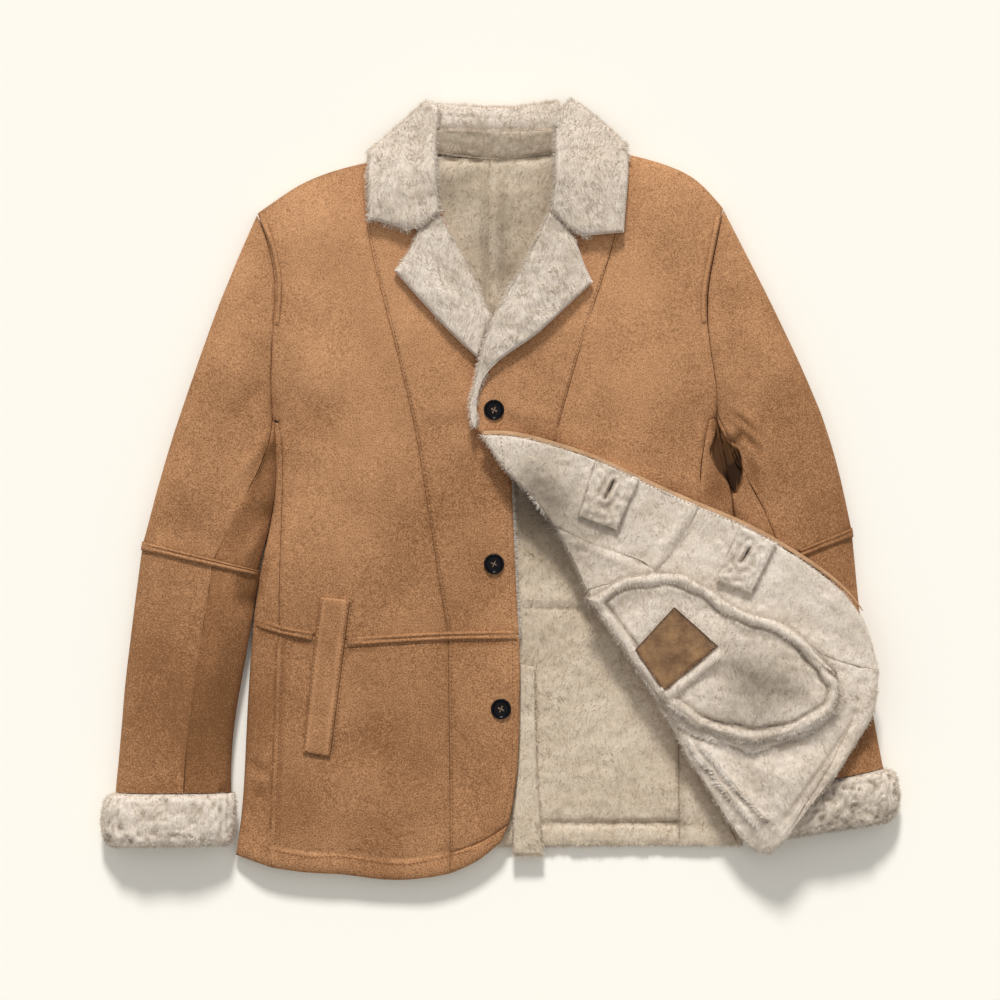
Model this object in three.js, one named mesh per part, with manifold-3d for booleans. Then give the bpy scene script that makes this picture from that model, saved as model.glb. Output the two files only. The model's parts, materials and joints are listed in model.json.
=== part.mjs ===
import * as THREE from 'three';
import { mergeVertices } from 'three/addons/utils/BufferGeometryUtils.js';
import Module from 'manifold-3d';

// A notch-collar shearling jacket, lying on its back on a flat surface, its lower right front
// thrown back. Millimetres; +Y points to the collar, +Z up from the surface.

const wasm = await Module();
wasm.setup();

// Driving sizes
const hide = 10; // skin and wool of the body panels
const sleeveHide = 8; // skin and wool of the sleeves
const seamGap = 0.7; // between two pieces that are sewn together
const layerGap = 1; // between two panels that lie on each other
const frontUnder = hide + layerGap;
const frontOver = frontUnder + hide;
const edgeHeight = 14; // top of the cloth where it turns round the side of the coat
const turnRadius = 30; // how far in from the side the front has risen to its full height
const footRadius = 10; // how far in from the side the back meets the surface
const cell = 34; // side of one facet on a plain panel
const closeCell = 24; // side of one facet where the right front comes down off the left
const flapCell = 20; // side of one facet where the flap lies over the sleeve
const trimGap = 0.5; // under trim that lies on a flat panel
const flapTrimGap = 1.4; // under trim that lies on the curved flap

const finish = {
  suede: { color: 0xb07a48, roughness: 0.95 },
  underSleeve: { color: 0x94622f, roughness: 0.95 },
  wool: { color: 0xd8cdbd, roughness: 1 },
  insideWool: { color: 0xcbbda6, roughness: 1 },
  patch: { color: 0xa06a3c, roughness: 0.8 },
  cutEdge: { color: 0xd9b48c, roughness: 0.9 },
  horn: { color: 0x16161c, roughness: 0.35 },
};

const coat = new THREE.Group();

function add(name, geometry, look) {
  const material = new THREE.MeshStandardMaterial({ ...finish[look], metalness: 0 });
  const mesh = new THREE.Mesh(geometry, material);
  mesh.name = name;
  coat.add(mesh);
}

// Lines in plan

// A smooth line through a few points, read by the share of its length.
function line(...points) {
  const curve = new THREE.SplineCurve(points.map(([x, y]) => new THREE.Vector2(x, y)));
  return (share) => curve.getPointAt(THREE.MathUtils.clamp(share, 0, 1));
}

function lengthOf(along, steps = 24) {
  let total = 0;
  for (let i = 0; i < steps; i += 1) {
    total += along(i / steps).distanceTo(along((i + 1) / steps));
  }
  return total;
}

// Several lines end to end, read as one.
function joined(...lines) {
  const lengths = lines.map((part) => lengthOf(part));
  const whole = lengths.reduce((sum, length) => sum + length, 0);
  const along = (share) => {
    let left = THREE.MathUtils.clamp(share, 0, 1) * whole;
    for (let i = 0; i < lines.length - 1; i += 1) {
      if (left <= lengths[i]) {
        return lines[i](left / lengths[i]);
      }
      left -= lengths[i];
    }
    return lines.at(-1)(left / lengths.at(-1));
  };
  along.lengths = lengths;
  return along;
}

const backwards = (along) => (share) => along(1 - share);
const smooth = (value, from, to) => THREE.MathUtils.smoothstep(value, from, to);

function distanceTo(lines, x, y) {
  const here = new THREE.Vector2(x, y);
  const steps = 20;
  let nearest = Infinity;
  for (const along of lines) {
    for (let i = 0; i < steps; i += 1) {
      const a = along(i / steps);
      const b = along((i + 1) / steps);
      const run = b.clone().sub(a);
      const share = THREE.MathUtils.clamp(here.clone().sub(a).dot(run) / run.lengthSq(), 0, 1);
      nearest = Math.min(nearest, here.distanceTo(a.clone().addScaledVector(run, share)));
    }
  }
  return nearest;
}

// Closed solids between two grids of points

// Two grids with as many rows and columns, joined round their edges into one closed wall.
// A grid whose columns go right round has no side edges.
function wall(outer, inner, round = false) {
  const rows = outer.length;
  const columns = outer[0].length;
  const positions = [...outer, ...inner].flat().flatMap((p) => [p.x, p.y, p.z]);
  const o = (j, i) => j * columns + (i % columns);
  const n = (j, i) => rows * columns + o(j, i);
  const faces = [];
  const quad = (a, b, c, d) => faces.push(a, b, c, a, c, d);
  const last = round ? columns : columns - 1;
  for (let j = 0; j < rows - 1; j += 1) {
    for (let i = 0; i < last; i += 1) {
      quad(o(j, i), o(j + 1, i), o(j + 1, i + 1), o(j, i + 1));
      quad(n(j, i), n(j, i + 1), n(j + 1, i + 1), n(j + 1, i));
    }
    if (!round) {
      quad(o(j, 0), n(j, 0), n(j + 1, 0), o(j + 1, 0));
      quad(o(j, last), o(j + 1, last), n(j + 1, last), n(j, last));
    }
  }
  for (let i = 0; i < last; i += 1) {
    quad(o(0, i), o(0, i + 1), n(0, i + 1), n(0, i));
    quad(o(rows - 1, i), n(rows - 1, i), n(rows - 1, i + 1), o(rows - 1, i + 1));
  }
  return facingOut(positions, faces);
}

function facingOut(positions, faces) {
  const corner = (k) => new THREE.Vector3(...positions.slice(3 * k, 3 * k + 3));
  let volume = 0;
  for (let k = 0; k < faces.length; k += 3) {
    volume += corner(faces[k]).dot(corner(faces[k + 1]).cross(corner(faces[k + 2])));
  }
  const geometry = new THREE.BufferGeometry();
  geometry.setAttribute('position', new THREE.Float32BufferAttribute(positions, 3));
  geometry.setIndex(volume > 0 ? faces : faces.reverse());
  geometry.computeVertexNormals();
  return geometry;
}

// How the cloth ends at the edges of a piece.
// Columns: distance in from the edge, drop of the top, rise of the underside.
const seam = [[0, 0, 0]];
const rim = [[0, 3, 3], [4, 0, 0]];
const thinRim = [[0, 1.5, 0], [2.5, 0, 0]];
const hem = [[0, 3, 3], [4, 0, 0], [17, 0, 0], [21, 2.5, 0], [25, 0, 0]];

// Grid lines across a length: those its two ends need, and even ones between. Where the edge is
// joined from several lines, a grid line lies on each joint, as it does in the neighbours.
function gridLines(length, start, end, step, lengths) {
  if (lengths) {
    const whole = lengths.reduce((sum, part) => sum + part, 0);
    const result = [{ at: 0, drop: 0, rise: 0, share: 0 }];
    let before = 0;
    for (const part of lengths) {
      const count = Math.max(1, Math.round(part / step));
      for (let i = 1; i <= count; i += 1) {
        result.push({ drop: 0, rise: 0, share: (before + (part * i) / count) / whole });
      }
      before += part;
      if (part !== lengths.at(-1)) {
        result.push({ drop: 0, rise: 0, share: before / whole + 0.004 });
      }
    }
    return result;
  }
  const asLine = ([at, drop, rise]) => ({ at, drop, rise });
  const first = start.map(asLine);
  const last = end.map(asLine).map((entry) => ({ ...entry, at: length - entry.at })).reverse();
  const from = first.at(-1).at;
  const span = last[0].at - from;
  const count = Math.max(1, Math.round(span / step));
  const between = [];
  for (let i = 1; i < count; i += 1) {
    between.push({ at: from + (span * i) / count, drop: 0, rise: 0 });
  }
  return [...first, ...between, ...last].map((entry) => ({ ...entry, share: entry.at / length }));
}

// Moves the outer points of a plan grid inwards, so that the neighbours stay a seam apart.
function drawnIn(grid, distance) {
  const rows = grid.length;
  const columns = grid[0].length;
  const loop = [];
  for (let i = 0; i < columns - 1; i += 1) loop.push([0, i]);
  for (let j = 0; j < rows - 1; j += 1) loop.push([j, columns - 1]);
  for (let i = columns - 1; i > 0; i -= 1) loop.push([rows - 1, i]);
  for (let j = rows - 1; j > 0; j -= 1) loop.push([j, 0]);
  const result = grid.map((row) => row.map((point) => point.clone()));
  const inward = (from, to) => {
    const run = to.clone().sub(from).normalize();
    return new THREE.Vector2(run.y, -run.x);
  };
  const at = ([j, i]) => grid[j][i];
  loop.forEach((place, k) => {
    const before = at(loop[(k + loop.length - 1) % loop.length]);
    const after = at(loop[(k + 1) % loop.length]);
    const a = inward(before, at(place));
    const b = inward(at(place), after);
    const mitre = a.clone().add(b).divideScalar(Math.max(0.5, 1 + a.dot(b)));
    result[place[0]][place[1]].addScaledVector(mitre, distance);
  });
  return result;
}

// A panel between four lines in plan. Left and right run down, top and bottom run to the right.
function panel({ left, right, top, bottom, under, over, ends = {}, step = cell, sewnSide }) {
  const width = Math.max(lengthOf(top), lengthOf(bottom));
  const height = Math.max(lengthOf(left), lengthOf(right));
  const columns = gridLines(width, ends.left ?? seam, ends.right ?? seam, step);
  const joints = sewnSide ? sewnSide.lengths : null;
  const rows = gridLines(height, ends.top ?? seam, ends.bottom ?? seam, step, joints);
  const place = (u, v) => {
    const point = top(u).multiplyScalar(1 - v).addScaledVector(bottom(u), v);
    point.addScaledVector(left(v), 1 - u).addScaledVector(right(v), u);
    point.addScaledVector(top(0), -(1 - u) * (1 - v)).addScaledVector(top(1), -u * (1 - v));
    return point.addScaledVector(bottom(0), -(1 - u) * v).addScaledVector(bottom(1), -u * v);
  };
  const flat = rows.map((row) => columns.map((column) => place(column.share, row.share)));
  const plan = drawnIn(flat, seamGap / 2);
  const lift = (height, way) => plan.map((row, j) => row.map((point, i) => {
    const change = Math.max(rows[j][way], columns[i][way]) * (way === 'drop' ? -1 : 1);
    return new THREE.Vector3(point.x, point.y, height(point.x, point.y) + change);
  }));
  return wall(lift(over, 'drop'), lift(under, 'rise'));
}

// A band of trim along a line, on a surface. Columns of its profile: offset, height.
function band(along, surface, profile, { step = 14, gap = trimGap } = {}) {
  const count = Math.max(2, Math.round(lengthOf(along) / step));
  const rows = [];
  for (let j = 0; j <= count; j += 1) {
    const here = along(j / count);
    const run = along(Math.min(1, j / count + 0.02)).sub(along(Math.max(0, j / count - 0.02)));
    const across = new THREE.Vector2(run.y, -run.x).normalize();
    const low = j === 0 || j === count ? 0.4 : 1;
    rows.push(profile.map(([offset, height]) => {
      const point = here.clone().addScaledVector(across, offset);
      const foot = surface(point.x, point.y) + gap;
      return { x: point.x, y: point.y, foot, top: foot + height * low };
    }));
  }
  const upper = rows.map((row) => row.map((p) => new THREE.Vector3(p.x, p.y, p.top)));
  const lower = rows.map((row) => row.map((p) => new THREE.Vector3(p.x, p.y, p.foot)));
  return wall(upper, lower);
}

// A piece that turns round the side of the coat: front seam, over the fold, back seam. Its top
// can sink into a hollow towards the fold, which ends before the waist.
function turned({ fold, front, back, ends = {}, start = seamGap / 2, hollow = 0 }) {
  const length = lengthOf(front);
  const rows = gridLines(length, ends.top ?? seam, ends.bottom ?? seam, cell);
  const small = seamGap / 2 / length;
  const outer = [];
  const inner = [];
  for (const row of rows) {
    const v = THREE.MathUtils.clamp(row.share, start / length, 1 - small);
    const side = fold(v);
    const overWidth = side.distanceTo(front(v));
    const underWidth = side.distanceTo(back(v));
    const overEnd = 1 - seamGap / 2 / overWidth;
    const underEnd = 1 - seamGap / 2 / underWidth;
    const nose = Math.min(hide * 1.2, overWidth * 0.6);
    const above = (share, z) => {
      const point = side.clone().lerp(front(v), share);
      return new THREE.Vector3(point.x, point.y, z);
    };
    const below = (share, z) => {
      const point = side.clone().lerp(back(v), share);
      return new THREE.Vector3(point.x, point.y, z);
    };
    const sunk = hollow * Math.min(1, overWidth / turnRadius) * (1 - smooth(v, 0.7, 1));
    const top = (share) => (
      edgeHeight + (frontOver - edgeHeight) * rise(share * overWidth) - row.drop
      - sunk * (1 - smooth(share, 0.3, 0.95))
    );
    const foot = Math.min(footRadius / underWidth, 0.5);
    const noseOver = nose / overWidth;
    const noseUnder = Math.min(nose / underWidth, 0.6);
    outer.push([
      ...[overEnd, 0.66, 0.33, 0].map((share) => above(share, top(share))),
      above(-0.8 / overWidth, (top(0) + 4) / 2),
      below(0, 4),
      below(foot, row.rise),
      below(underEnd, row.rise),
    ]);
    inner.push([
      above(overEnd, frontUnder + row.rise * 0.5),
      above(Math.max(0.7, noseOver), frontUnder + row.rise * 0.5),
      above(Math.max(0.65, noseOver), frontUnder),
      above(noseOver, frontUnder),
      above(noseOver * 0.9, (frontUnder + hide) / 2),
      below(noseUnder, hide),
      below(Math.max(foot, noseUnder) + 0.05, hide - row.drop * 0.5),
      below(underEnd, hide - row.drop * 0.5),
    ]);
  }
  return wall(outer, inner);
}

const rise = (distance) => Math.sin((Math.PI / 2) * Math.min(distance / turnRadius, 1));

// The coat's lines, x and y of each point

const shoulderLeftInner = line([-66, 338], [-105, 334], [-138, 327]);
const shoulderLeftOuter = line([-138, 327], [-169, 319], [-201, 306], [-227, 288], [-243, 277]);
const armholeLeft = line(
  [-243, 277], [-231, 245], [-224, 207], [-227, 161], [-229.5, 115], [-228, 71],
);
const sideLeftUpper = line([-226, 70], [-224, 6], [-229, -33], [-239, -76], [-246.5, -131]);
const sideLeftLower = line([-246.5, -131], [-252, -213], [-257, -315], [-264, -366]);
const sideSeamLeftUpper = line([-222, 70], [-217, 30], [-219, -35], [-221, -100], [-221, -140]);
const sideSeamLeftLower = line([-221, -140], [-224, -243], [-228, -360], [-229, -378]);
const backSeamLeftUpper = line([-221, 70], [-209, 30], [-204, -35], [-202, -128]);
const backSeamLeftLower = line([-202, -128], [-201, -243], [-200, -358]);
const princessLeftUpper = line(
  [-138, 327], [-135, 277], [-127, 232], [-105, 145], [-84, 56], [-68, -45], [-52, -146],
);
const princessLeftLower = line([-52, -146], [-51, -222], [-50, -298], [-50, -384]);
const waistLeftSide = line([-221, -140], [-182, -147], [-154, -151], [-106, -149], [-52, -146]);
const waistLeftCentre = line([-52, -146], [-16, -145], [19, -145]);
const neckLeft = line([-66, 338], [-63, 308], [-60, 277]);
const rollLeft = line([-60, 277], [-38, 236], [-21, 202], [-8, 170]);
const edgeLeftUpper = line([-8, 170], [6, 100], [12, 7], [15, -70], [19, -145]);
const edgeLeftLower = line([19, -145], [19.5, -254], [12, -322], [2, -350]);
const hemLeftSide = line(
  [-229, -378], [-193, -384], [-158, -384], [-128, -390], [-96, -392], [-63, -387], [-50, -384],
);
const hemLeftCentre = line([-50, -384], [-30, -377], [-9, -365], [2, -350]);

const shoulderRightInner = line([57, 338], [90, 339], [124, 337]);
const shoulderRightOuter = line([124, 337], [156, 329], [187, 317], [205, 303], [223.5, 282]);
const armholeRight = line(
  [223.5, 282], [215, 240], [207, 195], [208, 160], [214, 120], [217.5, 97], [217, 73],
);
const sideRightUpper = line([215.5, 72], [226, 27], [231, -14], [229, -60], [222, -130]);
const sideRightLower = line([222, -130], [229, -210], [235, -290], [242, -356]);
const sideSeamRightUpper = line([211, 72], [201, 30], [200, -10], [201, -70], [203, -133]);
const sideSeamRightLower = line([203, -133], [204, -250], [214, -302], [231, -338], [238, -354]);
const backSeamRightUpper = line([210, 72], [192, 30], [184, -35], [181, -128]);
const backSeamRightLower = line([181, -128], [179, -240], [179, -300], [180, -356]);
const princessRightUpper = line(
  [124, 337], [120, 278], [103, 212], [89, 171], [66.5, 94], [55, 44], [49, -30],
);
const neckRight = line([57, 338], [55, 308], [50, 279]);
const rollRight = line([50, 279], [36, 247], [15.5, 210], [-5, 173.5], [-19.5, 134]);
const edgeRight = line([-19.5, 134], [-25, 106], [-30, 87], [-31, 72], [-27, 63]);
const foldUpper = line([-27, 63], [-12, 50], [10, 18], [49, -30]);
const foldMiddle = line([49, -30], [73, -66], [94, -108], [112, -143]);
const foldLower = line([112, -143], [140, -162], [152, -196], [178, -250], [207, -297]);
const waistRight = line([112, -143], [155, -143], [203, -133]);

const waistBackLeft = line([-202, -128], [-100, -116], [6, -110]);
const waistBackRight = line([6, -110], [100, -110], [181, -128]);
const centreBackUpper = line([-10, 332], [-8, 170], [6, -110]);
const centreBackLower = line([6, -110], [10, -250], [13, -358]);
const neckBackLeft = line([-66, 338], [-40, 331.5], [-10, 332]);
const neckBackRight = line([-10, 332], [30, 331.5], [57, 338]);
const hemBackLeft = line([-200, -358], [-90, -360], [13, -358]);
const hemBackRight = line([13, -358], [100, -357], [180, -356]);

// Heights of the layers

const outlineLeft = [shoulderLeftInner, shoulderLeftOuter, sideLeftUpper, sideLeftLower];
const outlineRight = [shoulderRightInner, shoulderRightOuter, sideRightUpper, sideRightLower];
const overlap = { full: 22, none: 95 }; // where the right front comes down off the left front
const lift = (x) => (frontOver + 0.6 - frontUnder) * (1 - smooth(x, overlap.full, overlap.none));

const backOver = () => hide;
const backUnder = (x, y) => {
  const distance = distanceTo([...outlineLeft, ...outlineRight], x, y);
  return 4 * (1 - Math.sin((Math.PI / 2) * Math.min(distance / footRadius, 1)));
};
const crown = (outline, x, y) => (
  edgeHeight + (frontOver - edgeHeight) * rise(distanceTo(outline, x, y))
);
const leftUnder = () => frontUnder;
const leftOver = (x, y) => crown(outlineLeft, x, y);
const rightUnder = (x) => frontUnder + lift(x);
const rightOver = (x, y) => crown(outlineRight, x, y) + lift(x);

// Back

const back = { under: backUnder, over: backOver };
const leftBackSide = joined(armholeLeft, backSeamLeftUpper);
const rightBackSide = joined(armholeRight, backSeamRightUpper);
add('back_upper_left', panel({
  left: leftBackSide, right: centreBackUpper, bottom: waistBackLeft, sewnSide: leftBackSide,
  top: joined(backwards(shoulderLeftOuter), backwards(shoulderLeftInner), neckBackLeft),
  ...back,
}), 'insideWool');
add('back_upper_right', panel({
  left: centreBackUpper, right: rightBackSide, bottom: waistBackRight, sewnSide: rightBackSide,
  top: joined(neckBackRight, shoulderRightInner, shoulderRightOuter),
  ...back,
}), 'insideWool');
add('back_lower_left', panel({
  left: backSeamLeftLower, right: centreBackLower, top: waistBackLeft, bottom: hemBackLeft,
  ends: { bottom: hem }, ...back,
}), 'insideWool');
add('back_lower_right', panel({
  left: centreBackLower, right: backSeamRightLower, top: waistBackRight, bottom: hemBackRight,
  ends: { bottom: hem }, ...back,
}), 'insideWool');
add('vent_underlap', panel({
  left: line([20.4, -174], [20.5, -254], [17, -300], [14, -326], [13, -366]),
  right: line([35, -178], [36, -254], [39, -310], [43, -366]),
  top: line([20.4, -174], [29, -172], [35, -178]),
  bottom: line([13, -366], [28, -369], [43, -366]),
  under: () => hide + trimGap, over: () => hide + 7,
  ends: { right: thinRim, top: thinRim, bottom: rim },
}), 'insideWool');

// Side panels

const underarmGap = 3; // below the armhole seam
const underarmHollow = 6; // how far the right side panel sinks between the front and the sleeve

add('left_side_upper', turned({
  fold: sideLeftUpper, front: sideSeamLeftUpper, back: backSeamLeftUpper, start: underarmGap,
}), 'suede');
add('left_side_lower', turned({
  fold: sideLeftLower, front: sideSeamLeftLower, back: backSeamLeftLower, ends: { bottom: rim },
}), 'suede');
add('right_side_upper', turned({
  fold: sideRightUpper, front: sideSeamRightUpper, back: backSeamRightUpper, start: underarmGap,
  hollow: underarmHollow,
}), 'suede');
add('right_side_lower', turned({
  fold: sideRightLower, front: sideSeamRightLower, back: backSeamRightLower, ends: { bottom: rim },
}), 'insideWool');

// Left front

const leftFront = { under: leftUnder, over: leftOver };
const leftFrontSide = joined(armholeLeft, sideSeamLeftUpper);
add('left_front_side_upper', panel({
  left: leftFrontSide, right: princessLeftUpper, sewnSide: leftFrontSide,
  top: backwards(shoulderLeftOuter), bottom: waistLeftSide, ...leftFront,
}), 'suede');
add('left_front_centre_upper', panel({
  left: princessLeftUpper, right: joined(neckLeft, rollLeft, edgeLeftUpper),
  top: backwards(shoulderLeftInner), bottom: waistLeftCentre,
  ends: { right: rim }, ...leftFront,
}), 'suede');
add('left_front_side_lower', panel({
  left: sideSeamLeftLower, right: princessLeftLower, top: waistLeftSide, bottom: hemLeftSide,
  ends: { bottom: hem }, ...leftFront,
}), 'suede');
add('left_front_centre_lower', panel({
  left: princessLeftLower, right: edgeLeftLower, top: waistLeftCentre, bottom: hemLeftCentre,
  ends: { right: rim, bottom: hem }, ...leftFront,
}), 'suede');

// Right front, the part that lies in place

const rightFront = { under: rightUnder, over: rightOver, step: closeCell };
const rightFrontSide = joined(armholeRight, sideSeamRightUpper);
add('right_front_side_upper', panel({
  left: princessRightUpper, right: rightFrontSide, sewnSide: rightFrontSide,
  top: shoulderRightOuter, bottom: joined(foldMiddle, waistRight), ...rightFront,
}), 'suede');
add('right_front_centre_upper', panel({
  left: joined(neckRight, rollRight, edgeRight), right: princessRightUpper,
  top: shoulderRightInner, bottom: foldUpper, ends: { left: rim }, ...rightFront,
}), 'suede');
add('right_front_lower', panel({
  left: foldLower, right: sideSeamRightLower, top: waistRight,
  bottom: line([207, -297], [210, -298], [214, -302]), ends: { left: rim }, ...rightFront,
}), 'suede');

// Sleeves: rings from the armhole to the cuff

const sleeveColumns = [
  'outerX', 'outerY', 'innerX', 'innerY', 'height', 'square', 'sink', 'seamAt',
];
const asStation = (row) => Object.fromEntries(sleeveColumns.map((name, i) => [name, row[i]]));
// Columns: outer and inner edge in plan, height, squareness of the section, how far the front
// sinks by the underarm, and where the front seam lies from -1, outer edge, to 1, inner edge.
const leftSleeve = [
  [-243, 277, -229.5, 71, 21, 5, 0, 0.97],
  [-268, 222, -226.8, 48, 24, 4.5, 0, 0.88],
  [-290, 165, -225.8, 20, 28, 4, 0, 0.74],
  [-311, 105, -227.3, -10, 31, 3.4, 0, 0.6],
  [-331, 45, -231.9, -38, 33, 3, 0, 0.46],
  [-346, -8, -237.7, -62, 34, 2.8, 0, 0.34],
  [-358, -55, -242, -82, 34, 2.8, 0, 0.24],
  [-367, -120, -248.8, -135, 34, 2.8, 0, 0.22],
  [-374.5, -185, -258, -190, 33, 2.8, 0, 0.2],
  [-380, -245, -268, -247, 32, 2.8, 0, 0.2],
  [-385, -303, -269.5, -303, 32, 3, 0, 0.2],
].map(asStation);
const rightSleeve = [
  [223.5, 282, 217.5, 73, 21, 5, 0, 0.97],
  [244, 243, 223, 50, 25, 4.5, 5, 0.88],
  [266, 200, 228, 27, 29, 4, 9, 0.78],
  [288, 154, 231, 6, 32, 3.4, 11, 0.7],
  [309, 109, 234, -18, 34, 3, 8, 0.6],
  [328, 61, 236, -42, 34, 2.8, 4, 0.46],
  [342, 12, 237, -64, 34, 2.8, 0, 0.34],
  [352.5, -42, 238, -86, 34, 2.8, 0, 0.24],
  [358.5, -108, 245, -140, 34, 2.8, 0, 0.22],
  [365, -165, 252, -192, 33, 2.8, 0, 0.2],
  [373, -222, 260, -246, 32, 2.8, 0, 0.2],
  [384, -279, 268, -301, 32, 3, 0, 0.2],
].map(asStation);

const backSeamAngle = (4 / 3) * Math.PI; // under the sleeve, from the outer edge over the top
const armholeReach = 3; // stations over which the curve of the armhole fades out

// The point of a sleeve at a station and an angle; depth 0 is the suede, 1 the inside.
function sleevePoint(stations, armhole, station, angle, depth, raise = 0) {
  const last = stations.length - 1;
  const index = Math.min(Math.floor(station), last - 1);
  const part = station - index;
  const from = stations[index];
  const to = stations[index + 1];
  const at = {};
  for (const name of sleeveColumns) {
    at[name] = from[name] * (1 - part) + to[name] * part;
  }
  const half = Math.hypot(at.outerX - at.innerX, at.outerY - at.innerY) / 2;
  const across = -Math.cos(angle) * (1 - (depth * sleeveHide) / half);
  const share = (1 + across) / 2;
  const point = new THREE.Vector2(at.outerX, at.outerY);
  point.lerp(new THREE.Vector2(at.innerX, at.innerY), share);
  const fade = Math.max(0, 1 - station / armholeReach);
  if (fade > 0) {
    const chord = new THREE.Vector2(stations[0].outerX, stations[0].outerY);
    chord.lerp(new THREE.Vector2(stations[0].innerX, stations[0].innerY), share);
    point.add(armhole(share).sub(chord).multiplyScalar(fade));
  }
  const hollow = at.height - 2 * sleeveHide;
  const inside = depth > 0;
  const middle = inside ? sleeveHide + hollow / 2 : at.height * 0.42;
  const reach = Math.abs(Math.cos(angle));
  const over = Math.sqrt(Math.max(0, 1 - reach ** at.square));
  const under = Math.sqrt(Math.max(0, 1 - reach ** 8));
  const sunk = at.sink * smooth(across, 0.3, 0.8);
  const top = inside ? hollow / 2 : at.height - middle;
  const bottom = inside ? hollow / 2 : middle;
  const isOver = Math.sin(angle) >= 0;
  const z = isOver ? middle + top * over - sunk * over + raise : middle - bottom * under;
  return new THREE.Vector3(point.x, point.y, z);
}

const frontSeamAngle = (stations, station) => {
  const index = Math.min(Math.floor(station), stations.length - 2);
  const part = station - index;
  const seamAt = stations[index].seamAt * (1 - part) + stations[index + 1].seamAt * part;
  return Math.acos(-seamAt);
};

function sleevePiece(stations, armhole, from, to, piece) {
  const seamTurn = 0.006;
  const shift = seamGap / 2 / 58; // half a seam, in stations
  const armholeShift = 0.034;
  const columns = piece === 'outer' ? 16 : 7;
  const outer = [];
  const inner = [];
  for (let j = from; j <= to; j += 1) {
    const inset = j === 0 ? armholeShift : shift;
    const station = j === from ? j + inset : j === to ? j - inset : j;
    const front = frontSeamAngle(stations, station);
    const [start, end] = piece === 'outer'
      ? [backSeamAngle - 2 * Math.PI + seamTurn, front - seamTurn]
      : [front + seamTurn, backSeamAngle - seamTurn];
    const ring = (depth) => Array.from({ length: columns + 1 }, (_, i) => (
      sleevePoint(stations, armhole, station, start + ((end - start) * i) / columns, depth)
    ));
    outer.push(ring(0));
    inner.push(ring(1));
  }
  return wall(outer, inner);
}

// The raised seam across the top of a sleeve. Columns: share of a station, height.
function elbowWelt(stations, armhole, station, reach) {
  const profile = [[-0.075, 0.8], [-0.04, 2.8], [0, 1.4], [0.04, 2.8], [0.075, 0.8]];
  const columns = 12;
  const start = 0.05; // of the half turn over the top
  const clear = 0.9;
  const outside = -0.15; // of the hide's thickness
  const grid = (height) => profile.map(([offset, ridge]) => (
    Array.from({ length: columns + 1 }, (_, i) => {
      const angle = Math.PI * (start + ((reach - start) * i) / columns);
      const raise = clear + (height ? ridge : 0);
      return sleevePoint(stations, armhole, station + offset, angle, outside, raise);
    })
  ));
  return wall(grid(1), grid(0));
}

// A fleece cuff: a thick ring. Columns: outer edge, inner edge, height, wall.
function cuff(rings) {
  const columns = 20;
  const grid = (depth) => rings.map(([outerX, outerY, innerX, innerY, height, thick]) => (
    Array.from({ length: columns }, (_, i) => {
      const angle = (2 * Math.PI * i) / columns;
      const half = Math.hypot(outerX - innerX, outerY - innerY) / 2;
      const across = -Math.cos(angle) * (1 - (depth * thick) / half);
      const point = new THREE.Vector2(outerX, outerY);
      point.lerp(new THREE.Vector2(innerX, innerY), (1 + across) / 2);
      const reach = Math.abs(Math.cos(angle));
      const over = Math.sqrt(Math.max(0, 1 - reach ** 3));
      const under = Math.sqrt(Math.max(0, 1 - reach ** 6));
      const hollow = 16;
      const middle = depth ? (height - 4) / 2 : height * 0.42;
      const top = depth ? hollow / 2 : height - middle;
      const bottom = depth ? hollow / 2 : middle;
      const z = Math.sin(angle) >= 0 ? middle + top * over : middle - bottom * under;
      return new THREE.Vector3(point.x, point.y, z);
    })
  ));
  return wall(grid(0), grid(1), true);
}

const sleeves = {
  left: { stations: leftSleeve, armhole: armholeLeft, elbow: 6, weltReach: 0.94 },
  right: { stations: rightSleeve, armhole: armholeRight, elbow: 7, weltReach: 0.43 },
};
for (const [side, { stations, armhole, elbow, weltReach }] of Object.entries(sleeves)) {
  const cuffEnd = stations.length - 1;
  add(`${side}_sleeve_outer_upper`, sleevePiece(stations, armhole, 0, elbow, 'outer'), 'suede');
  add(`${side}_sleeve_inner_upper`, sleevePiece(stations, armhole, 0, elbow, 'inner'), 'underSleeve');
  add(`${side}_sleeve_outer_lower`, sleevePiece(stations, armhole, elbow, cuffEnd, 'outer'), 'suede');
  add(`${side}_sleeve_inner_lower`, sleevePiece(stations, armhole, elbow, cuffEnd, 'inner'), 'underSleeve');
  add(`${side}_elbow_welt`, elbowWelt(stations, armhole, elbow, weltReach), 'suede');
}
add('left_cuff', cuff([
  [-391, -303.6, -265, -303.6, 34, 11],
  [-400, -312, -262.5, -312, 40, 14],
  [-401, -345, -265, -344, 40, 14],
  [-393, -356.5, -270, -355, 34, 10],
]), 'wool');
add('right_cuff', cuff([
  [391, -278.2, 263.5, -302.6, 34, 11],
  [401, -287, 259.5, -310.5, 40, 14],
  [401.5, -319, 261, -341, 40, 14],
  [393, -331, 267, -351, 34, 10],
]), 'wool');

// Trim on the front

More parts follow.
